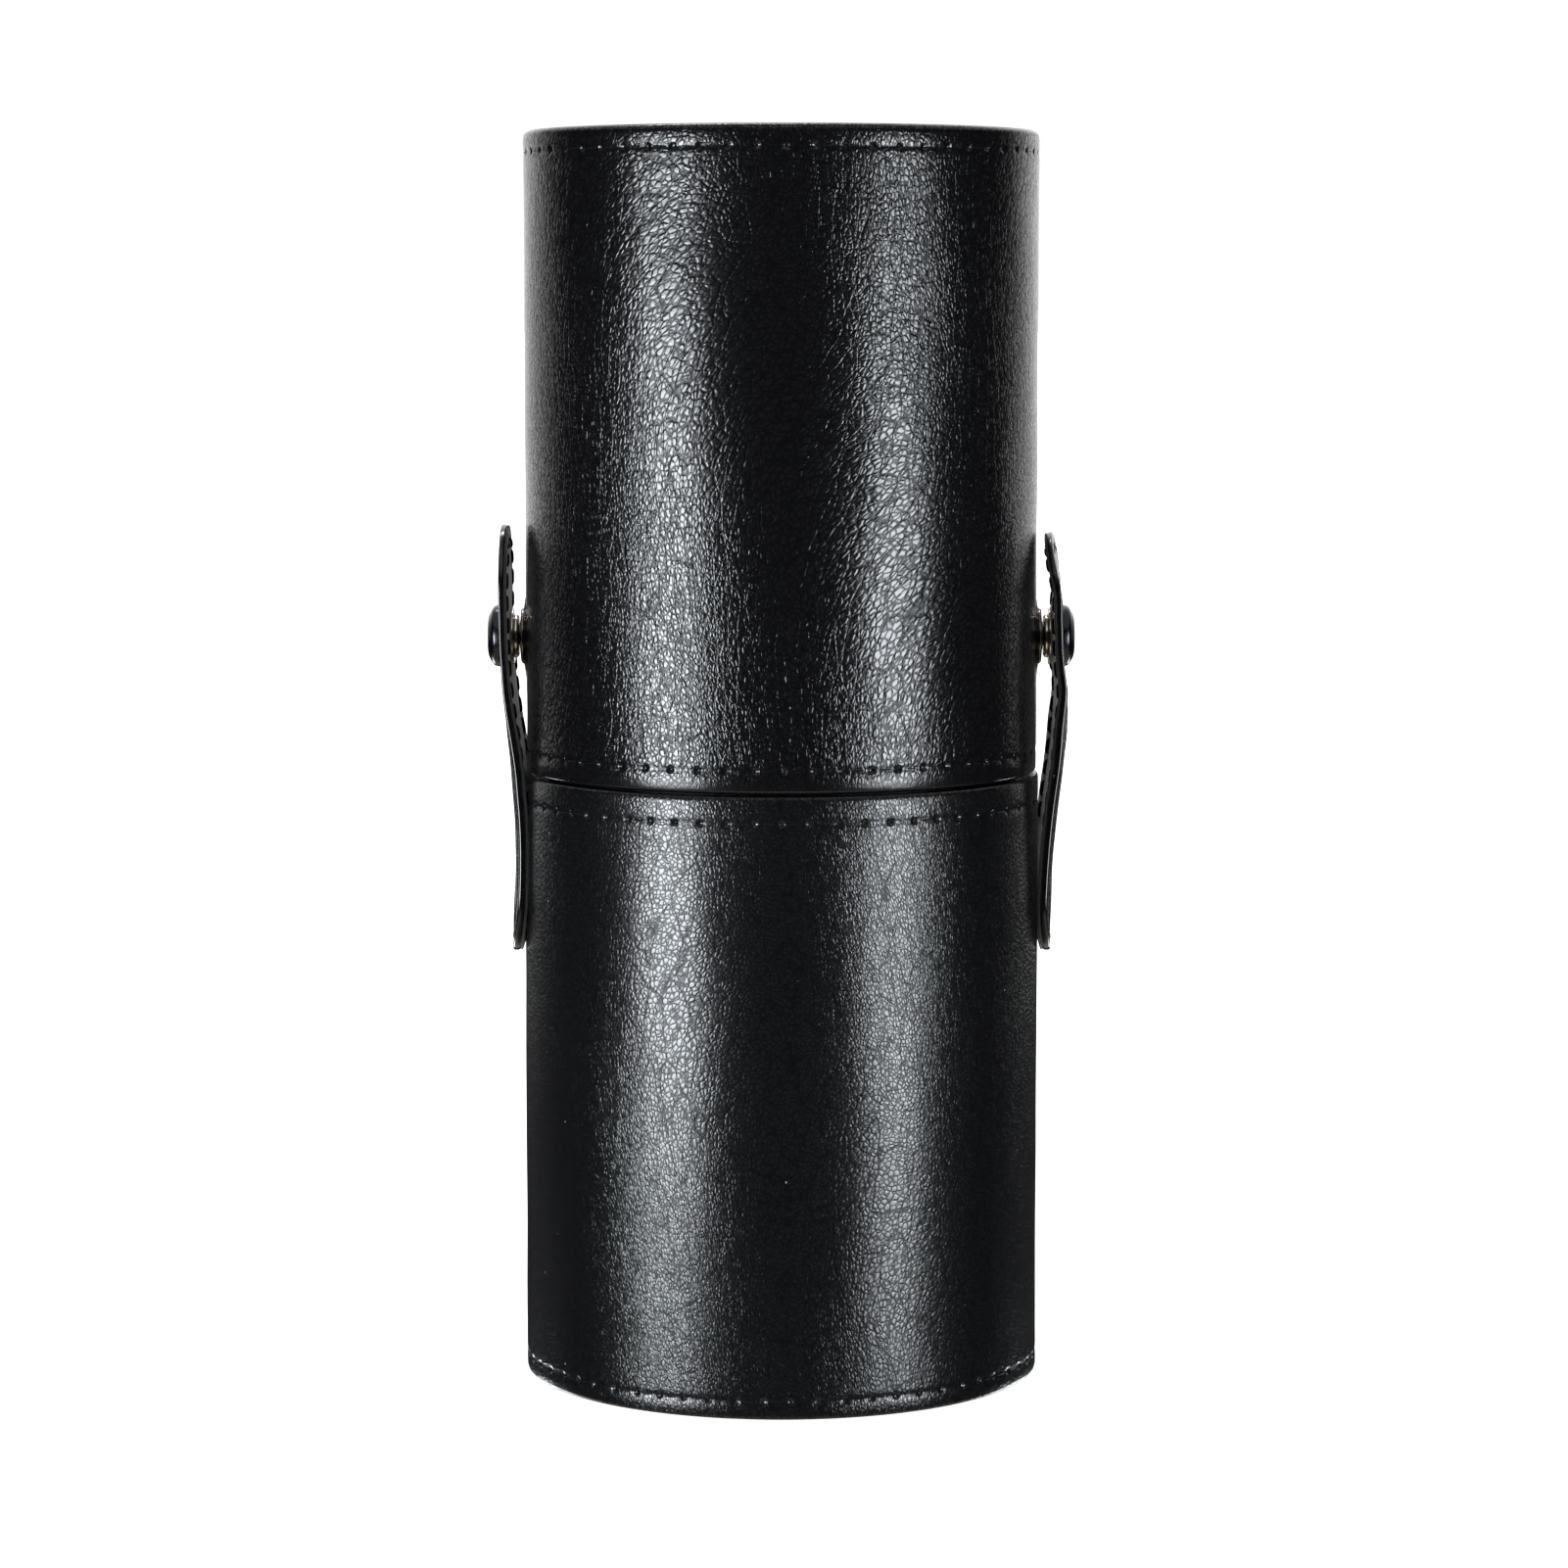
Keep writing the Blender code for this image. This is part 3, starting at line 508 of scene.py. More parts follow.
# A leather sleeve: the outline turned about Z, then moved along its normal by a soft swell, by a groove and
# a lip along each row of stitches, by a dimple at each hole, and by whatever extra(angle, z) gives.
def stitchedSleeve(name, outline, radius, rows, material, flow, extra=None, grainOf=None):
    shape = sleeveShape
    heights = [rowHeight(row[0]) for row in rows]
    closer = [(height, 1.5 * mm, 0.3 * mm) for height in heights]
    if extra is not None:
        closer.append((snapZ, 8.0 * mm, 1.2 * mm))
    profile = evenly(outline, 4.0 * mm, closer)
    normal = outwardOf(profile)
    r, z = profile[:, 0][:, None], profile[:, 1][:, None]
    angle = np.linspace(0, 2 * math.pi, shape["around"], endpoint=False)[None, :]
    outside = smooth(normal[:, :1], 0.3, 0.9) * smooth(r, radius - 0.7 * mm, radius - 0.2 * mm)
    place = np.stack(np.broadcast_arrays(r * np.cos(angle), r * np.sin(angle), z), -1)
    push = shape["ripple"] * ripple(place, shape["rippleSize"], len(name))
    for (_, count, degrees), height in zip(rows, heights):
        off = z - height
        push = push - shape["grooveDepth"] * np.exp(-((off / shape["grooveWidth"]) ** 2))
        push = push + shape["lip"] * np.exp(-(((np.abs(off) - 1.5 * mm) / (0.8 * mm)) ** 2))
        pitch = 2 * math.pi / count
        turn = (angle - rowHoles(count, degrees)[0]) / pitch
        beside = (turn - np.round(turn)) * pitch * radius
        push = push - shape["holeDepth"] * np.exp(-((beside**2 + off**2) / shape["holeSize"] ** 2))
    if extra is not None:
        push = push + extra(angle, z)
    push = push * outside
    points = np.stack([(r + push * normal[:, :1]) * np.cos(angle), (r + push * normal[:, :1]) * np.sin(angle),
                       z + push * normal[:, 1:]], -1)
    hide = flow(angle, r, z)
    grain = np.ones(points.shape[:2]) if grainOf is None else grainOf(angle, r, z) * np.ones(points.shape[:2])
    for height in heights:
        grain = grain * (1 - 0.35 * np.exp(-(((z - height) / (0.6 * mm)) ** 2)))
    return addSurface(name, points, material, aroundRows=True, hide=hide, grain=grain)


# Where the grain's pattern is read: a point on a cylinder that is turned a little with height, so that the
# cells lean, and swayed along the way round, so that their lean changes from place to place.
def grainFlow(skew, sway, stretch):
    def flow(angle, r, z):
        lean = angle + skew * z + sway * np.sin(2 * angle + z / (31 * mm)) * np.sin(z / (47 * mm) + angle)
        rise = (z + 2.2 * mm * np.sin(3 * angle + z / (19 * mm))) * stretch
        return np.stack(np.broadcast_arrays(r * np.cos(lean), r * np.sin(lean), rise), -1)
    return flow


# One row of stitches: each is an arc from hole to hole over the groove, which dips at its ends.
def sleeveStitches(name, radius, row, material):
    thread, count, degrees = row
    shape = stitchShape
    height = rowHeight(thread)
    holes = rowHoles(count, degrees)
    share = np.linspace(0, 1, 9)
    gap = shape["hole"] / radius / 2
    angle = holes[:, None] + gap + share[None, :] * (2 * math.pi / count - 2 * gap)
    dip = np.abs(2 * share - 1) ** 4
    random = np.random.default_rng(count)
    lift = random.normal(0, 0.03 * mm, count)[:, None]
    out = radius - shape["thread"] + shape["crown"] + lift - (shape["sink"] + lift) * dip[None, :]
    z = height + random.normal(0, 0.05 * mm, (count, 1))
    z = z + random.normal(0, 0.10 * mm, (count, 1)) * (share - 0.5)
    paths = np.stack([out * np.cos(angle), out * np.sin(angle), z], -1)
    ups = np.stack([np.cos(angle), np.sin(angle), np.zeros_like(angle)], -1)
    radii = shape["thread"] * np.sqrt(np.clip(1 - np.abs(2 * share - 1) ** 7, 0, 1))
    return addSurface(name, tubes(paths, ups, radii, 6), material, hide=plyField(paths, 6))


studSeat = {"flat": 5.3 * mm, "fade": 7.5 * mm, "height": 0.26 * mm}  # the pressed seat under a snap stud


def seats(angle, z):
    # lifts the lid's wall to a flat seat under each stud, and fades back to the round wall
    away = np.hypot(lidRadius * np.sin(angle), z - snapZ)
    level = (lidRadius + studSeat["height"]) / np.maximum(np.abs(np.cos(angle)), 0.5) - lidRadius
    return level * (1 - smooth(away, studSeat["flat"], studSeat["fade"])) * (np.abs(np.cos(angle)) > 0.9)


leather = sleeveShape["leather"]
baseInner = baseRadius - leather
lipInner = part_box("base_board")[1].x - 2.9 * mm  # the turned-in lip covers the board's edge
baseOutline = roundedOutline([
    (baseRadius, 0.0, 0.8 * mm), (baseRadius, baseTop, 0.60 * mm), (lipInner, baseTop, 0.45 * mm),
    (lipInner, baseTop - leather, 0.3 * mm), (baseInner, baseTop - leather, 0.0), (baseInner, 0.0, 0.15 * mm),
])
baseSleeve = stitchedSleeve("base_sleeve", baseOutline, baseRadius, sleeveRows["base"],
                            materials["baseLeather"], grainFlow(1.2, 0.22, 0.76))
lidInner = lidRadius - leather
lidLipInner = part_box("lid_lining")[1].x + 0.3 * mm
lidOutline = roundedOutline([
    (lidRadius, lidBottom, 0.85 * mm), (lidRadius, lidTop, 1.15 * mm), (lidInner, lidTop, 0.12 * mm),
    (lidInner, lidBottom + leather, 0.0), (lidLipInner, lidBottom + leather, 0.3 * mm),
    (lidLipInner, lidBottom, 0.3 * mm),
])


def lidGrain(angle, r, z):
    # the grain is stretched flat where the leather rolls under the rim, and eases over the crown's edge
    return (0.12 + 0.88 * smooth(z, lidBottom + 0.4 * mm, lidBottom + 4.4 * mm)) * (
        1 - 0.5 * smooth(z, lidTop - 2.2 * mm, lidTop))


lidSleeve = stitchedSleeve("lid_sleeve", lidOutline, lidRadius, sleeveRows["lid"], materials["lidLeather"],
                           grainFlow(-2.6, 0.20, 0.78), extra=seats, grainOf=lidGrain)
place(baseSleeve, "base", "base_leather", "base_wrap")
place(lidSleeve, "lid", "lid_leather", "lid_wrap")
for body, radius in (("base", baseRadius), ("lid", lidRadius)):
    for row in sleeveRows[body]:
        stitches = sleeveStitches(row[0].replace("_thread", "_stitches"), radius, row, materials["thread"])
        place(stitches, body, "thread", row[0])
print("sleeves and their stitches made")


# A leather or cloth disc: a rounded slab turned about Z, whose upper face swells by crown in the middle.
def disc(name, low, high, radius, rounding, material, crown=0.0, seed=1):
    corners = [(0, low, 0), (radius, low, rounding), (radius, high, rounding), (0, high, 0)]
    outline = roundedOutline(corners, 8)
    profile = evenly(outline, 0.9 * mm, closed=False)
    points = turned(profile, 240)
    rise = ripple(points, 22 * mm, seed) * 0.05 * mm
    inward = 1 - (profile[:, :1] / radius) ** 2
    upper = smooth(profile[:, 1:], low, high)
    points[..., 2] += (rise + crown * inward) * upper * smooth(radius - profile[:, :1], 0, 3 * mm)
    return addSurface(name, points, material, hide=points * 1.0)


# A thin straight tube with rounded ends, turned about Z.
def pipe(name, outer, inner, low, high, rounding, material, steps=240):
    outline = roundedOutline([(outer, low, rounding), (outer, high, rounding),
                              (inner, high, rounding), (inner, low, rounding)], 6)
    points = turned(evenly(outline, 3.0 * mm), steps)
    return addSurface(name, points, material, aroundRows=True)


def tubeRadii(node):
    # a thin tube's outer radius, and its inner one from the points nearest the axis
    points = np.array([v.co for v in frame["nodes"][node].data.vertices])
    reach = np.hypot(points[:, 0], points[:, 1])
    return reach.max(), reach.min()


low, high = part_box("lid_top_leather")
lidCap = disc("lid_top_disc", low.z, high.z - 0.02 * mm, lidInner - 0.03 * mm, 0.5 * mm,
              materials["lidLeather"], crown=-0.10 * mm, seed=5)
place(lidCap, "lid", "lid_leather", "lid_top_leather")
low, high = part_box("base_bottom_leather")
baseFoot = disc("base_underside_disc", low.z + 0.03 * mm, high.z, baseInner - 0.03 * mm, 0.5 * mm,
                materials["baseLeather"], seed=6)
place(baseFoot, "base", "base_leather", "base_bottom_leather")
for node, body in (("base_floor_pad", "base"), ("lid_top_pad", "lid")):
    low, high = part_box(node)
    pad = disc(node + "_flock", low.z, high.z, high.x, 0.45 * mm, materials["lining"], seed=7)
    place(pad, body, "lining", node)
for node, body, slot, material, rounding in (("collar", "base", "board", "covering", 0.6 * mm),
                                             ("base_lining", "base", "lining", "lining", 0.2 * mm),
                                             ("lid_lining", "lid", "lining", "lining", 0.2 * mm)):
    low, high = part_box(node)
    outer, inner = tubeRadii(node)
    tube = pipe(node + "_tube", outer, inner, low.z, high.z, rounding, materials[material])
    place(tube, body, slot, node)
for name in ("base_board", "base_bottom_board", "lid_board", "lid_top_board"):
    node = frame["nodes"][name]
    node.data.materials.clear()
    node.data.materials.append(materials["board"])
print("discs, linings and collar made")

strapShape = {
    "leather": 1.30 * mm, "backing": 0.50 * mm,
    "tabShare": 0.80,  # how thick the pared tab is beside the rest
    "edge": 0.40 * mm,  # rounding of the painted edge
    "backingInset": 0.12 * mm,
    "stitchInset": 2.4 * mm,
    "pitch": 3.85 * mm, "thread": 0.30 * mm, "hole": 0.75 * mm,
    "needleStand": -0.22 * mm, "bobbinStand": 0.10 * mm,  # the middle of a stitch over its face
    "groove": 0.12 * mm, "grooveWidth": 0.55 * mm, "dimple": 0.30 * mm, "dimpleSize": 0.55 * mm,
}
# How each strap lies, in millimetres from the crease up: the middle of its thickness from the cup's axis,
# where it stops following the round wall, how far its tip is turned and how much it is stretched.
strapLie = {
    "right": {
        "middle": [(-20, 47.45), (-9, 47.60), (0, 48.12), (8, 48.92), (15, 49.85), (22, 50.38), (28, 50.25),
                   (32, 49.50), (35.5, 49.20), (40, 49.15), (45, 49.30), (49, 48.80), (57, 47.60)],
        "flattens": (20, 33), "twist": (36, 57, 6.0), "tip": -0.5,
    },
    "left": {
        "middle": [(-20, 47.30), (-14, 47.22), (-5, 46.84), (3, 46.86), (12, 47.48), (22, 48.18), (30, 48.74),
                   (35, 49.08), (42, 49.26), (57, 49.22)],
        "flattens": (12, 30), "twist": (36, 57, 0.0), "tip": 0.9,
    },
}
sideSign = {"right": 1.0, "left": -1.0}


# The strap's middle surface: t runs up from the crease and v across. It is bent round the cup's axis where
# it lies on the wall, x = middle - (1 - cos(kv)) / k and y = sin(kv) / k, and k falls off further up.
def strapMiddle(side, t, v):
    lie = strapLie[side]
    t = np.asarray(t, float)
    middle = smoothCurve(lie["middle"], t / mm) * mm
    start, end = lie["flattens"]
    bend = (1 - smooth(t / mm, start, end)) / creaseX + 0.02  # never quite 0, which it is divided by
    x = middle - (1 - np.cos(bend * v)) / bend
    y = np.sin(bend * v) / bend
    start, end, degrees = lie["twist"]
    twist = math.radians(degrees) * smooth(t / mm, start, end)
    z = creaseZ + t + lie["tip"] * mm * smooth(t / mm, 43, 57)
    return np.stack(np.broadcast_arrays(x + y * np.sin(twist), y * np.cos(twist), z), -1)


def strapNormal(side, t, v):
    small = 0.05 * mm
    up = strapMiddle(side, t + small, v) - strapMiddle(side, t - small, v)
    across = strapMiddle(side, t, v + small) - strapMiddle(side, t, v - small)
    normal = np.cross(across, up)
    return normal / np.linalg.norm(normal, axis=-1, keepdims=True)


def toSide(side, points):
    # the left strap is the right one's half turn about the cup's axis
    sign = sideSign[side]
    return points * np.array([sign, sign, 1.0])


# The strap's outline, up one edge, round the tip, back and round the root: for each of its points, the
# height of the centre that it is drawn around and the angle from that centre.
def strapRun(step):
    top, bottom = tipReach - strapHalf, strapHalf - rootReach
    straight = max(2, int((top - bottom) / step))
    arc = max(3, int(math.pi * strapHalf / step))
    up = np.linspace(bottom, top, straight, endpoint=False)
    round1 = np.linspace(0, math.pi, arc, endpoint=False)
    centre = np.concatenate([up, np.full(arc, top), up[::-1] + (up[1] - up[0]), np.full(arc, bottom)])
    angle = np.concatenate([np.zeros(straight), round1, np.full(straight, math.pi), math.pi + round1])
    return centre, angle


def runAlong(centre, angle):
    # lengths along the stitch line, a little in from the strap's edge, and how many stitches it takes
    reach = strapHalf - strapShape["stitchInset"]
    t = centre + reach * np.sin(angle)
    v = reach * np.cos(angle)
    gaps = np.hypot(np.roll(t, -1) - t, np.roll(v, -1) - v)
    run = np.concatenate([[0], np.cumsum(gaps)])
    return run, int(round(run[-1] / strapShape["pitch"]))


def pared(t):
    # the strap's thickness as a share of the full one: the tab is pared thinner
    return 1 - (1 - strapShape["tabShare"]) * smooth(t / mm, 18, 34)


# One layer of a strap: rings drawn inside its outline, over the top face and back under it. Near the
# outline the thickness falls off along a quarter round, and marks says which face has the stitch groove and
# its holes.
def strapSheet(name, side, bottom, top, inset, edge, material, marks):
    shape = strapShape
    reach = strapHalf - inset
    row = shape["stitchInset"] - inset
    insets = np.concatenate([
        edge * (1 - np.cos(np.linspace(0, math.pi / 2, 8))),
        np.arange(edge + 0.4 * mm, row - 1.2 * mm, 0.4 * mm),
        row + np.arange(-1.1, 1.11, 0.22) * mm,
        np.linspace(row + 1.6 * mm, reach, 9),
    ])
    e = np.concatenate([insets[::-1], insets[1:]])[:, None]
    upper = np.concatenate([np.ones(len(insets)), -np.ones(len(insets) - 1)])[:, None]
    centre, angle = strapRun(0.42 * mm)
    t = centre + (reach - e) * np.sin(angle)
    v = (reach - e) * np.cos(angle)
    roundness = np.sqrt(np.clip(1 - (1 - np.clip(e / edge, 0, 1)) ** 2, 0, 1))
    half = (top - bottom) / 2
    out = (top + bottom) / 2 + upper * (max(half - edge, 0) + min(edge, half) * roundness)
    run, count = runAlong(centre, angle)
    pitch = run[-1] / count
    beside = (run[:-1] / pitch - np.round(run[:-1] / pitch)) * pitch
    off = e - row
    mark = shape["groove"] * np.exp(-((off / shape["grooveWidth"]) ** 2)) + shape["dimple"] * np.exp(
        -((off**2 + beside**2) / shape["dimpleSize"] ** 2))
    out = out - upper * mark * (upper == marks)
    swell = 0.05 * mm * ripple(np.stack([t, v, np.zeros_like(t)], -1), 14 * mm, 3)
    out = (out + swell * smooth(e, 0.2 * mm, 2 * mm)) * pared(t)
    points = strapMiddle(side, t, v) + strapNormal(side, t, v) * out[..., None]
    hide = np.stack([t * 0.75, v, np.full(t.shape, sideSign[side] * 40 * mm)], -1)
    grain = smooth(e, 0.35 * mm, 1.1 * mm) * (upper == marks) * np.ones(t.shape)
    return addSurface(name, toSide(side, points), material, hide=hide, grain=grain)


# Stitches round a strap: each bridges two holes on the stitch line, standing over the face it lies on.
def strapStitches(name, side, face, sign, stand, fromHeight, material):
    shape = strapShape
    centre, angle = strapRun(0.25 * mm)
    run, count = runAlong(centre, angle)
    share = np.linspace(0, 1, 11)
    pitch = run[-1] / count
    starts = np.arange(count) * pitch + shape["hole"] / 2
    at = starts[:, None] + share[None, :] * (pitch - shape["hole"])
    turn = np.append(angle, 2 * math.pi)
    centre = np.interp(at, run, np.append(centre, centre[0]))
    angle = np.interp(at, run, turn)
    random = np.random.default_rng(count + int(sign))
    slant = random.normal(0.10 * mm, 0.06 * mm, (count, 1)) * (2 * share - 1)
    dip = np.abs(2 * share - 1) ** 5
    lift = random.normal(0, 0.03 * mm, (count, 1))
    reach = strapHalf - shape["stitchInset"] - slant
    t = centre + reach * np.sin(angle)
    v = reach * np.cos(angle)
    out = face * pared(t) + sign * (stand + lift - 0.40 * mm * dip)
    normal = strapNormal(side, t, v)
    paths = strapMiddle(side, t, v) + normal * out[..., None]
    keep = t.min(axis=1) > fromHeight
    paths, ups = toSide(side, paths[keep]), toSide(side, normal[keep] * sign)
    radii = shape["thread"] * np.sqrt(np.clip(1 - np.abs(2 * share - 1) ** 8, 0, 1))
    return addSurface(name, tubes(paths, ups, radii, 7), material, hide=plyField(paths, 7))


for side in ("right", "left"):
    shape = strapShape
    half = (shape["leather"] + shape["backing"]) / 2
    seam = -half + shape["backing"]
    outer = strapSheet(side + "_strap_leather", side, seam, half, 0.0, shape["edge"],
                       materials["strapLeather"], 1)
    inner = strapSheet(side + "_strap_lining", side, -half, seam - 0.01 * mm, shape["backingInset"],
                       0.15 * mm, materials["backing"], -1)
    needle = strapStitches(side + "_strap_needle_stitches", side, half, 1.0, shape["needleStand"], -1.0,
                           materials["thread"])
    bobbin = strapStitches(side + "_strap_bobbin_stitches", side, -half, -1.0, shape["bobbinStand"], 2.5 * mm,
                           materials["thread"])
    for piece, slot, nodes in (
            (outer, "strap_leather", (side + "_strap_root", side + "_flap_leather")),
            (inner, "strap_backing", (side + "_flap_backing",)),
            (needle, "thread", (side + "_root_thread", side + "_flap_needle_thread")),
            (bobbin, "thread", (side + "_flap_bobbin_thread",))):
        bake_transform(piece)
        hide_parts(*nodes)
print("straps made")

# Snap fasteners: profiles of (radius, distance out from the lid's wall), turned about an axis along X.
snapShape = {"steps": 96, "step": 0.25 * mm}


# A profile turned about the snap's axis: x = wall + distance, y = r cos a, z = snap height + r sin a.
def outwards(side, profile, steps):
    angle = np.linspace(0, 2 * math.pi, steps, endpoint=False)
    r, u = profile[:, 0][:, None], profile[:, 1][:, None]
    points = np.stack(np.broadcast_arrays(lidRadius + u, r * np.cos(angle), r * np.sin(angle)), -1)
    return toSide(side, points) + np.array([0, 0, snapZ])


def turnedPiece(name, side, corners, material, closed=False, arcSteps=8):
    outline = roundedOutline([(r * mm, u * mm, f * mm) for r, u, f in corners], arcSteps)
    profile = evenly(outline, snapShape["step"], arcStep=0.09 * mm, closed=closed)
    return addSurface(name, outwards(side, profile, snapShape["steps"]), material, aroundRows=closed)


# The cap: a drawn dome with a rolled edge, and the shank that rivets it through the strap.
capProfile = [
    (0, 2.12, 0), (1.0, 2.12, 0.12), (1.1, 3.9, 0.3), (4.6, 4.25, 0.2), (5.0, 4.10, 0.2), (5.6, 4.62, 0.32),
    (5.35, 5.75, 1.1), (3.6, 6.75, 2.6), (0, 7.0, 0),
]
# The socket: a stamped flange against the strap, a rolled barrel and an open bore that takes the stud.
socketProfile = [
    (2.45, 1.15, 0.14), (3.35, 1.15, 0.25), (3.9, 1.5, 0.25), (3.9, 1.95, 0.12), (4.5, 2.02, 0.12),
    (5.1, 2.12, 0.16), (5.1, 2.62, 0.2), (4.3, 2.85, 0.2), (2.6, 2.60, 0.2), (1.25, 2.50, 0.1),
    (1.25, 2.12, 0.08), (2.45, 2.08, 0.1),
]
studProfile = [
    (1.05, 0.30, 0.05), (4.9, 0.28, 0.1), (5.1, 0.50, 0.14), (4.7, 0.86, 0.2), (3.0, 0.80, 0.35),
    (1.80, 0.95, 0.15), (1.72, 1.35, 0.2), (2.02, 1.66, 0.16), (1.75, 1.85, 0.14), (1.05, 1.80, 0.1),
]
rivetProfile = [
    (0, -4.72, 0), (2.9, -4.70, 0.2), (3.5, -4.46, 0.14), (3.2, -4.22, 0.1), (1.0, -4.2, 0.1),
    (1.0, 0.85, 0.12), (0, 0.95, 0),
]


springShape = {"radius": 2.08 * mm, "wire": 0.12 * mm, "out": 1.35 * mm, "gap": 24, "samples": 90}


# The spring that grips the stud: a round wire bent into a ring with a small gap, ends rounded.
def splitRing(name, side, material):
    shape = springShape
    gap, samples = shape["gap"] / 2, shape["samples"]
    angle = np.linspace(math.radians(gap), math.radians(360 - gap), samples)
    r = shape["radius"]
    path = np.stack([np.full_like(angle, lidRadius + shape["out"]), r * np.cos(angle), r * np.sin(angle)], -1)
    ups = np.stack([np.zeros_like(angle), np.cos(angle), np.sin(angle)], -1)
    path = toSide(side, path[None]) + np.array([0, 0, snapZ])
    radii = np.full(samples, shape["wire"])
    radii[[0, -1]] = 0
    radii[[1, -2]] = 0.75 * shape["wire"]
    return addSurface(name, tubes(path, toSide(side, ups[None]), radii, 12), material)


for side in ("right", "left"):
    body = side + "_strap"
    cap = turnedPiece(side + "_cap_dome", side, capProfile, materials["blackNickel"])
    place(cap, body, "cap_metal", side + "_snap_cap")
    socket = turnedPiece(side + "_socket_ring", side, socketProfile, materials["nickel"], closed=True)
    place(socket, body, "snap_metal", side + "_snap_socket")
    spring = splitRing(side + "_spring_ring", side, materials["springSteel"])
    place(spring, body, "spring_metal", side + "_snap_spring")
    stud = turnedPiece(side + "_stud_post", side, studProfile, materials["nickel"], closed=True)
    place(stud, "lid", "snap_metal", side + "_snap_stud")
    rivet = turnedPiece(side + "_rivet", side, rivetProfile, materials["nickel"])
    place(rivet, "lid", "snap_metal", side + "_stud_rivet")
print("snaps made")

studioLight = {
    # name, degrees round from the front, distance, height, width, tall, watts, degrees that it leans
    "boxes": [("left softbox", -50.0, 1.05, 0.0, 0.50, 0.58, 11.8, 0.0),
              ("left hot middle", -50.0, 1.03, 0.03, 0.46, 0.26, 5.4, 0.0),
              ("right softbox", 51.0, 1.05, 0.0, 0.46, 0.58, 8.0, -14.0),
              ("right hot middle", 51.0, 1.03, 0.03, 0.42, 0.26, 3.6, -14.0),
              # for looks from behind and above, and too low to show from the front
              ("left low back", -142.0, 1.05, -0.58, 0.40, 0.44, 6.0, 0.0),
              ("right low back", 142.0, 1.05, -0.58, 0.40, 0.44, 5.0, 0.0)],
    "tint": (0.90, 0.955, 1.0),
    "top": {"place": (-0.12, 0.48, 1.05), "size": (0.55, 0.16), "watts": 5.0, "tint": (0.92, 0.88, 1.0)},
    "back": 1.7,  # how bright the white backdrop is in a reflection
    "over": 0.9,  # the pale ceiling, well above
    "under": 0.7,  # the cream table close by
    "room": 0.015,
    "soft": 0.85,  # the even light that matt things get from the white room
}


def addLight(name, place, aim, size, watts, lean=0.0, tint=(1, 1, 1)):
    data = bpy.data.lights.new(name, "AREA")
    data.shape = "RECTANGLE"
    data.size, data.size_y = size
    data.energy = watts
    data.color = tint
    light = bpy.data.objects.new(name, data)
    light.location = place
    way = (Vector(aim) - Vector(place)).to_track_quat("-Z", "Y")
    light.rotation_euler = (way @ Quaternion((0, 0, 1), math.radians(lean))).to_euler()
    light.visible_camera = False
    bpy.context.scene.collection.objects.link(light)


for name, degrees, distance, height, width, tall, watts, lean in studioLight["boxes"]:
    turn = math.radians(degrees)
    spot = (distance * math.sin(turn), -distance * math.cos(turn), height)
    addLight(name, spot, (0, 0, height), (width, tall), watts, lean, studioLight["tint"])
top = studioLight["top"]
addLight("top strip", top["place"], (0, 0, lidTop), top["size"], top["watts"], tint=top["tint"])


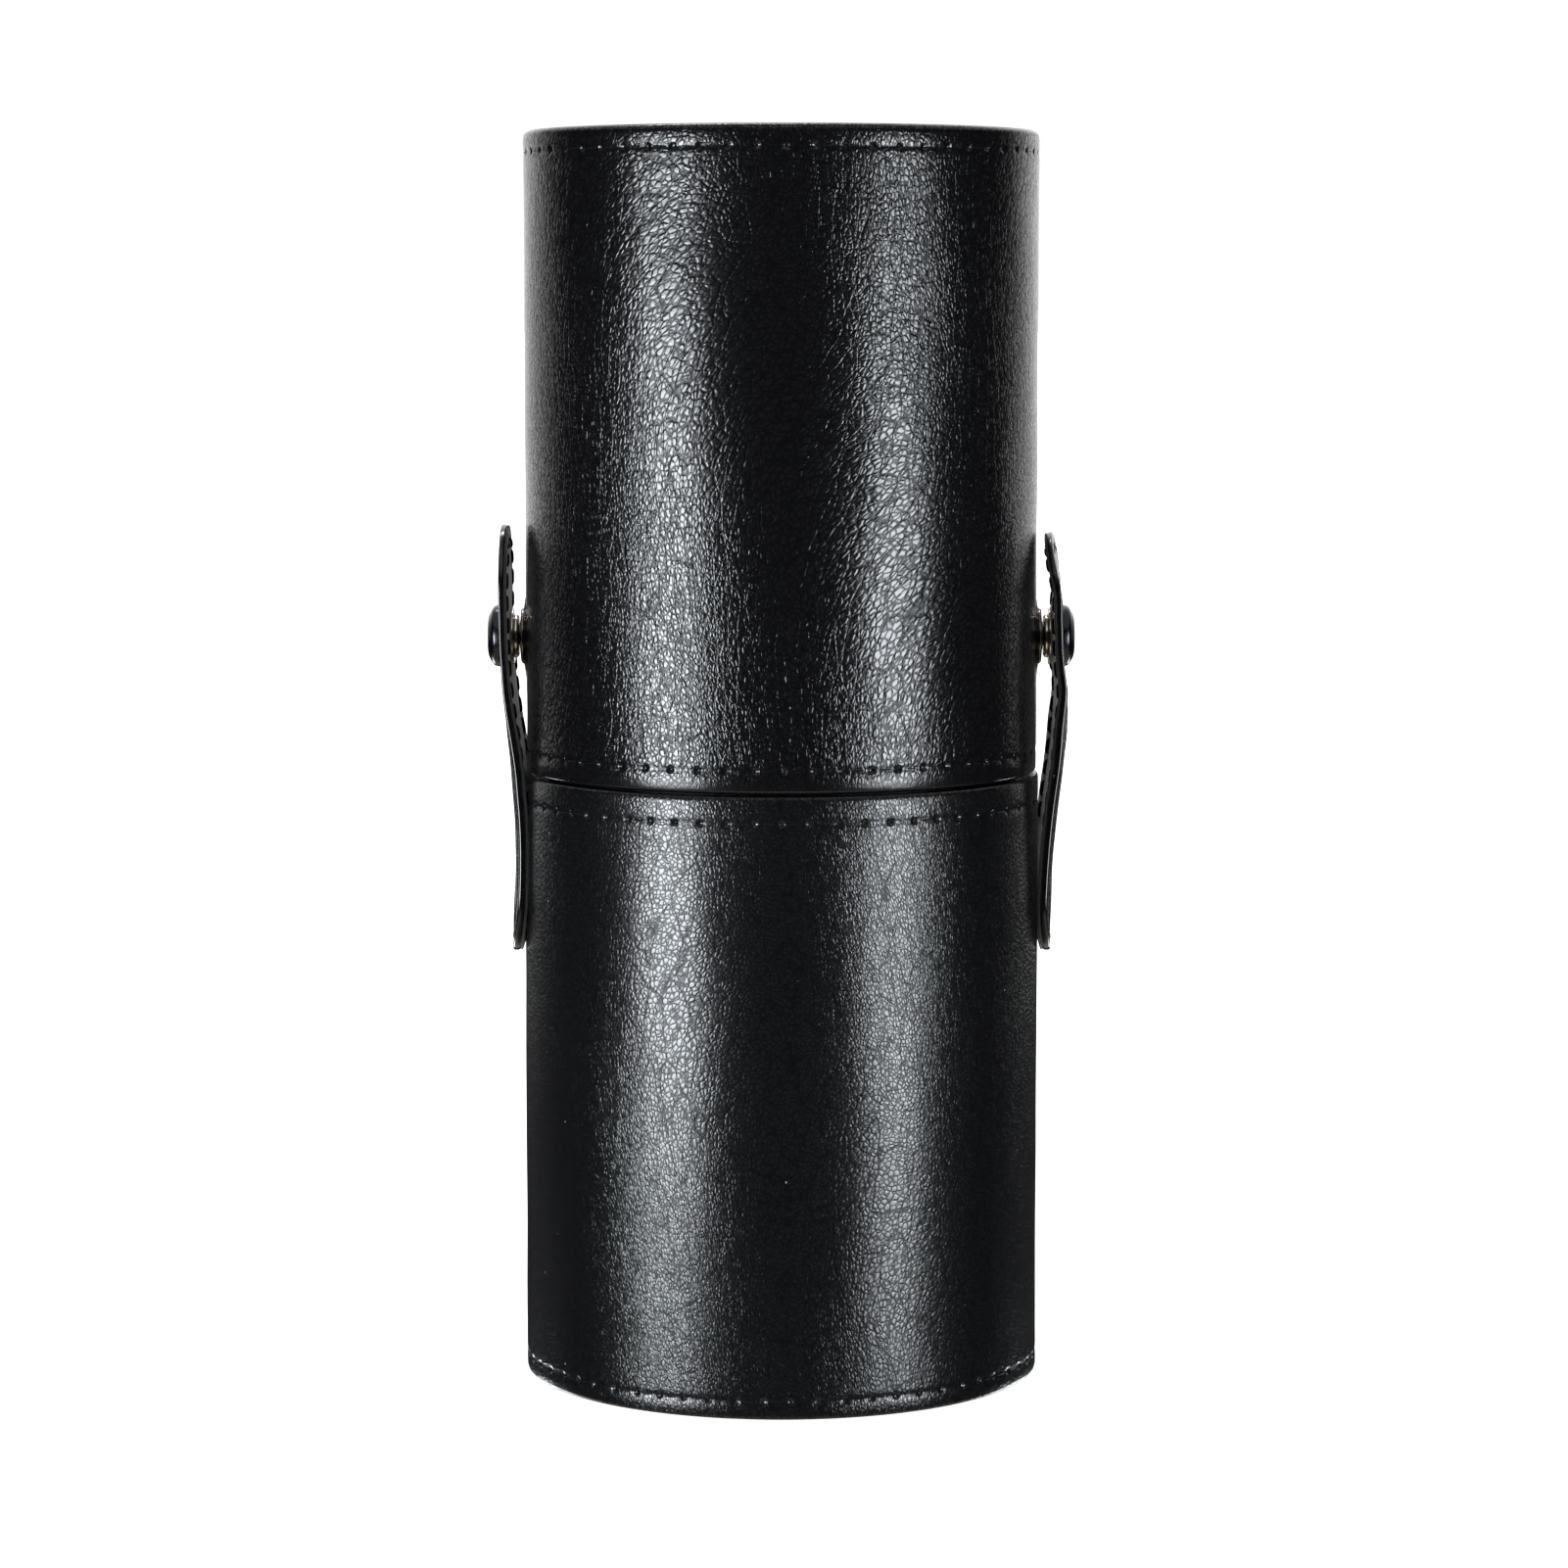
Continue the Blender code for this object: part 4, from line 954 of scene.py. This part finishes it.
def addSurroundings(light):
    # white to look at; in reflections a white backdrop far behind, above the table's horizon, and a dim room
    world = bpy.data.worlds.new("studio")
    bpy.context.scene.world = world
    world.use_nodes = True
    tree = world.node_tree
    tree.nodes.clear()
    way = addNode(tree, "TexCoord").outputs["Generated"]
    parts = addNode(tree, "SeparateXYZ", {0: way})
    behind = addNode(tree, "MapRange", {"Value": parts.outputs["Y"], "From Min": 0.45, "From Max": 0.95,
                                        "To Max": light["back"]}, interpolation_type="SMOOTHSTEP")
    over = addNode(tree, "MapRange", {"Value": parts.outputs["Z"], "From Min": -0.125, "From Max": -0.085},
                   interpolation_type="SMOOTHSTEP")
    lit = addNode(tree, "Math", {0: behind, 1: over}, operation="MULTIPLY")
    ceiling = addNode(tree, "MapRange", {"Value": parts.outputs["Z"], "From Min": 0.38, "From Max": 0.60,
                                         "To Max": light["over"]}, interpolation_type="SMOOTHSTEP")
    table = addNode(tree, "MapRange", {"Value": parts.outputs["Z"], "From Min": -0.50, "From Max": -0.72,
                                       "To Max": light["under"]}, interpolation_type="SMOOTHSTEP")
    total = addNode(tree, "Math", {0: lit, 1: light["room"]})
    total = addNode(tree, "Math", {0: total, 1: ceiling})
    white = addNode(tree, "Background", {"Strength": total})
    cream = addNode(tree, "Background", {"Strength": table, "Color": linear("#fff2dc")})
    reflected = addNode(tree, "AddShader", {0: white, 1: cream})
    seen = addNode(tree, "Background", {"Color": (1, 1, 1, 1)})
    ray = addNode(tree, "LightPath")
    soft = addNode(tree, "Background", {"Strength": light["soft"], "Color": (1, 1, 1, 1)})
    lighting = addNode(tree, "MixShader", {0: ray.outputs["Is Diffuse Ray"], 1: reflected, 2: soft})
    mixed = addNode(tree, "MixShader", {0: ray.outputs["Is Camera Ray"], 1: lighting, 2: seen})
    addNode(tree, "OutputWorld", {"Surface": mixed})
    bpy.context.scene.view_settings.view_transform = "Standard"


def addFloor():
    # a plain pale table, wide enough to run out of view
    mesh = bpy.data.meshes.new("floor")
    reach, level = 30.0, -0.05 * mm
    mesh.from_pydata([(-reach, -reach, level), (reach, -reach, level), (reach, reach, level),
                      (-reach, reach, level)], [], [(0, 1, 2, 3)])
    floor = bpy.data.objects.new("floor", mesh)
    bpy.context.scene.collection.objects.link(floor)
    material, tree = startMaterial("pale_table")
    closeMaterial(tree, {"Base Color": linear("#f4f4f4"), "Roughness": 1.0, "Specular IOR Level": 0.0,
                         "Emission Color": (1, 1, 1, 1), "Emission Strength": 0.9})
    mesh.materials.append(material)
    floor.visible_glossy = False
    floor.visible_diffuse = False
    floor.visible_shadow = False


addSurroundings(studioLight)
addFloor()
print("floor and light made")
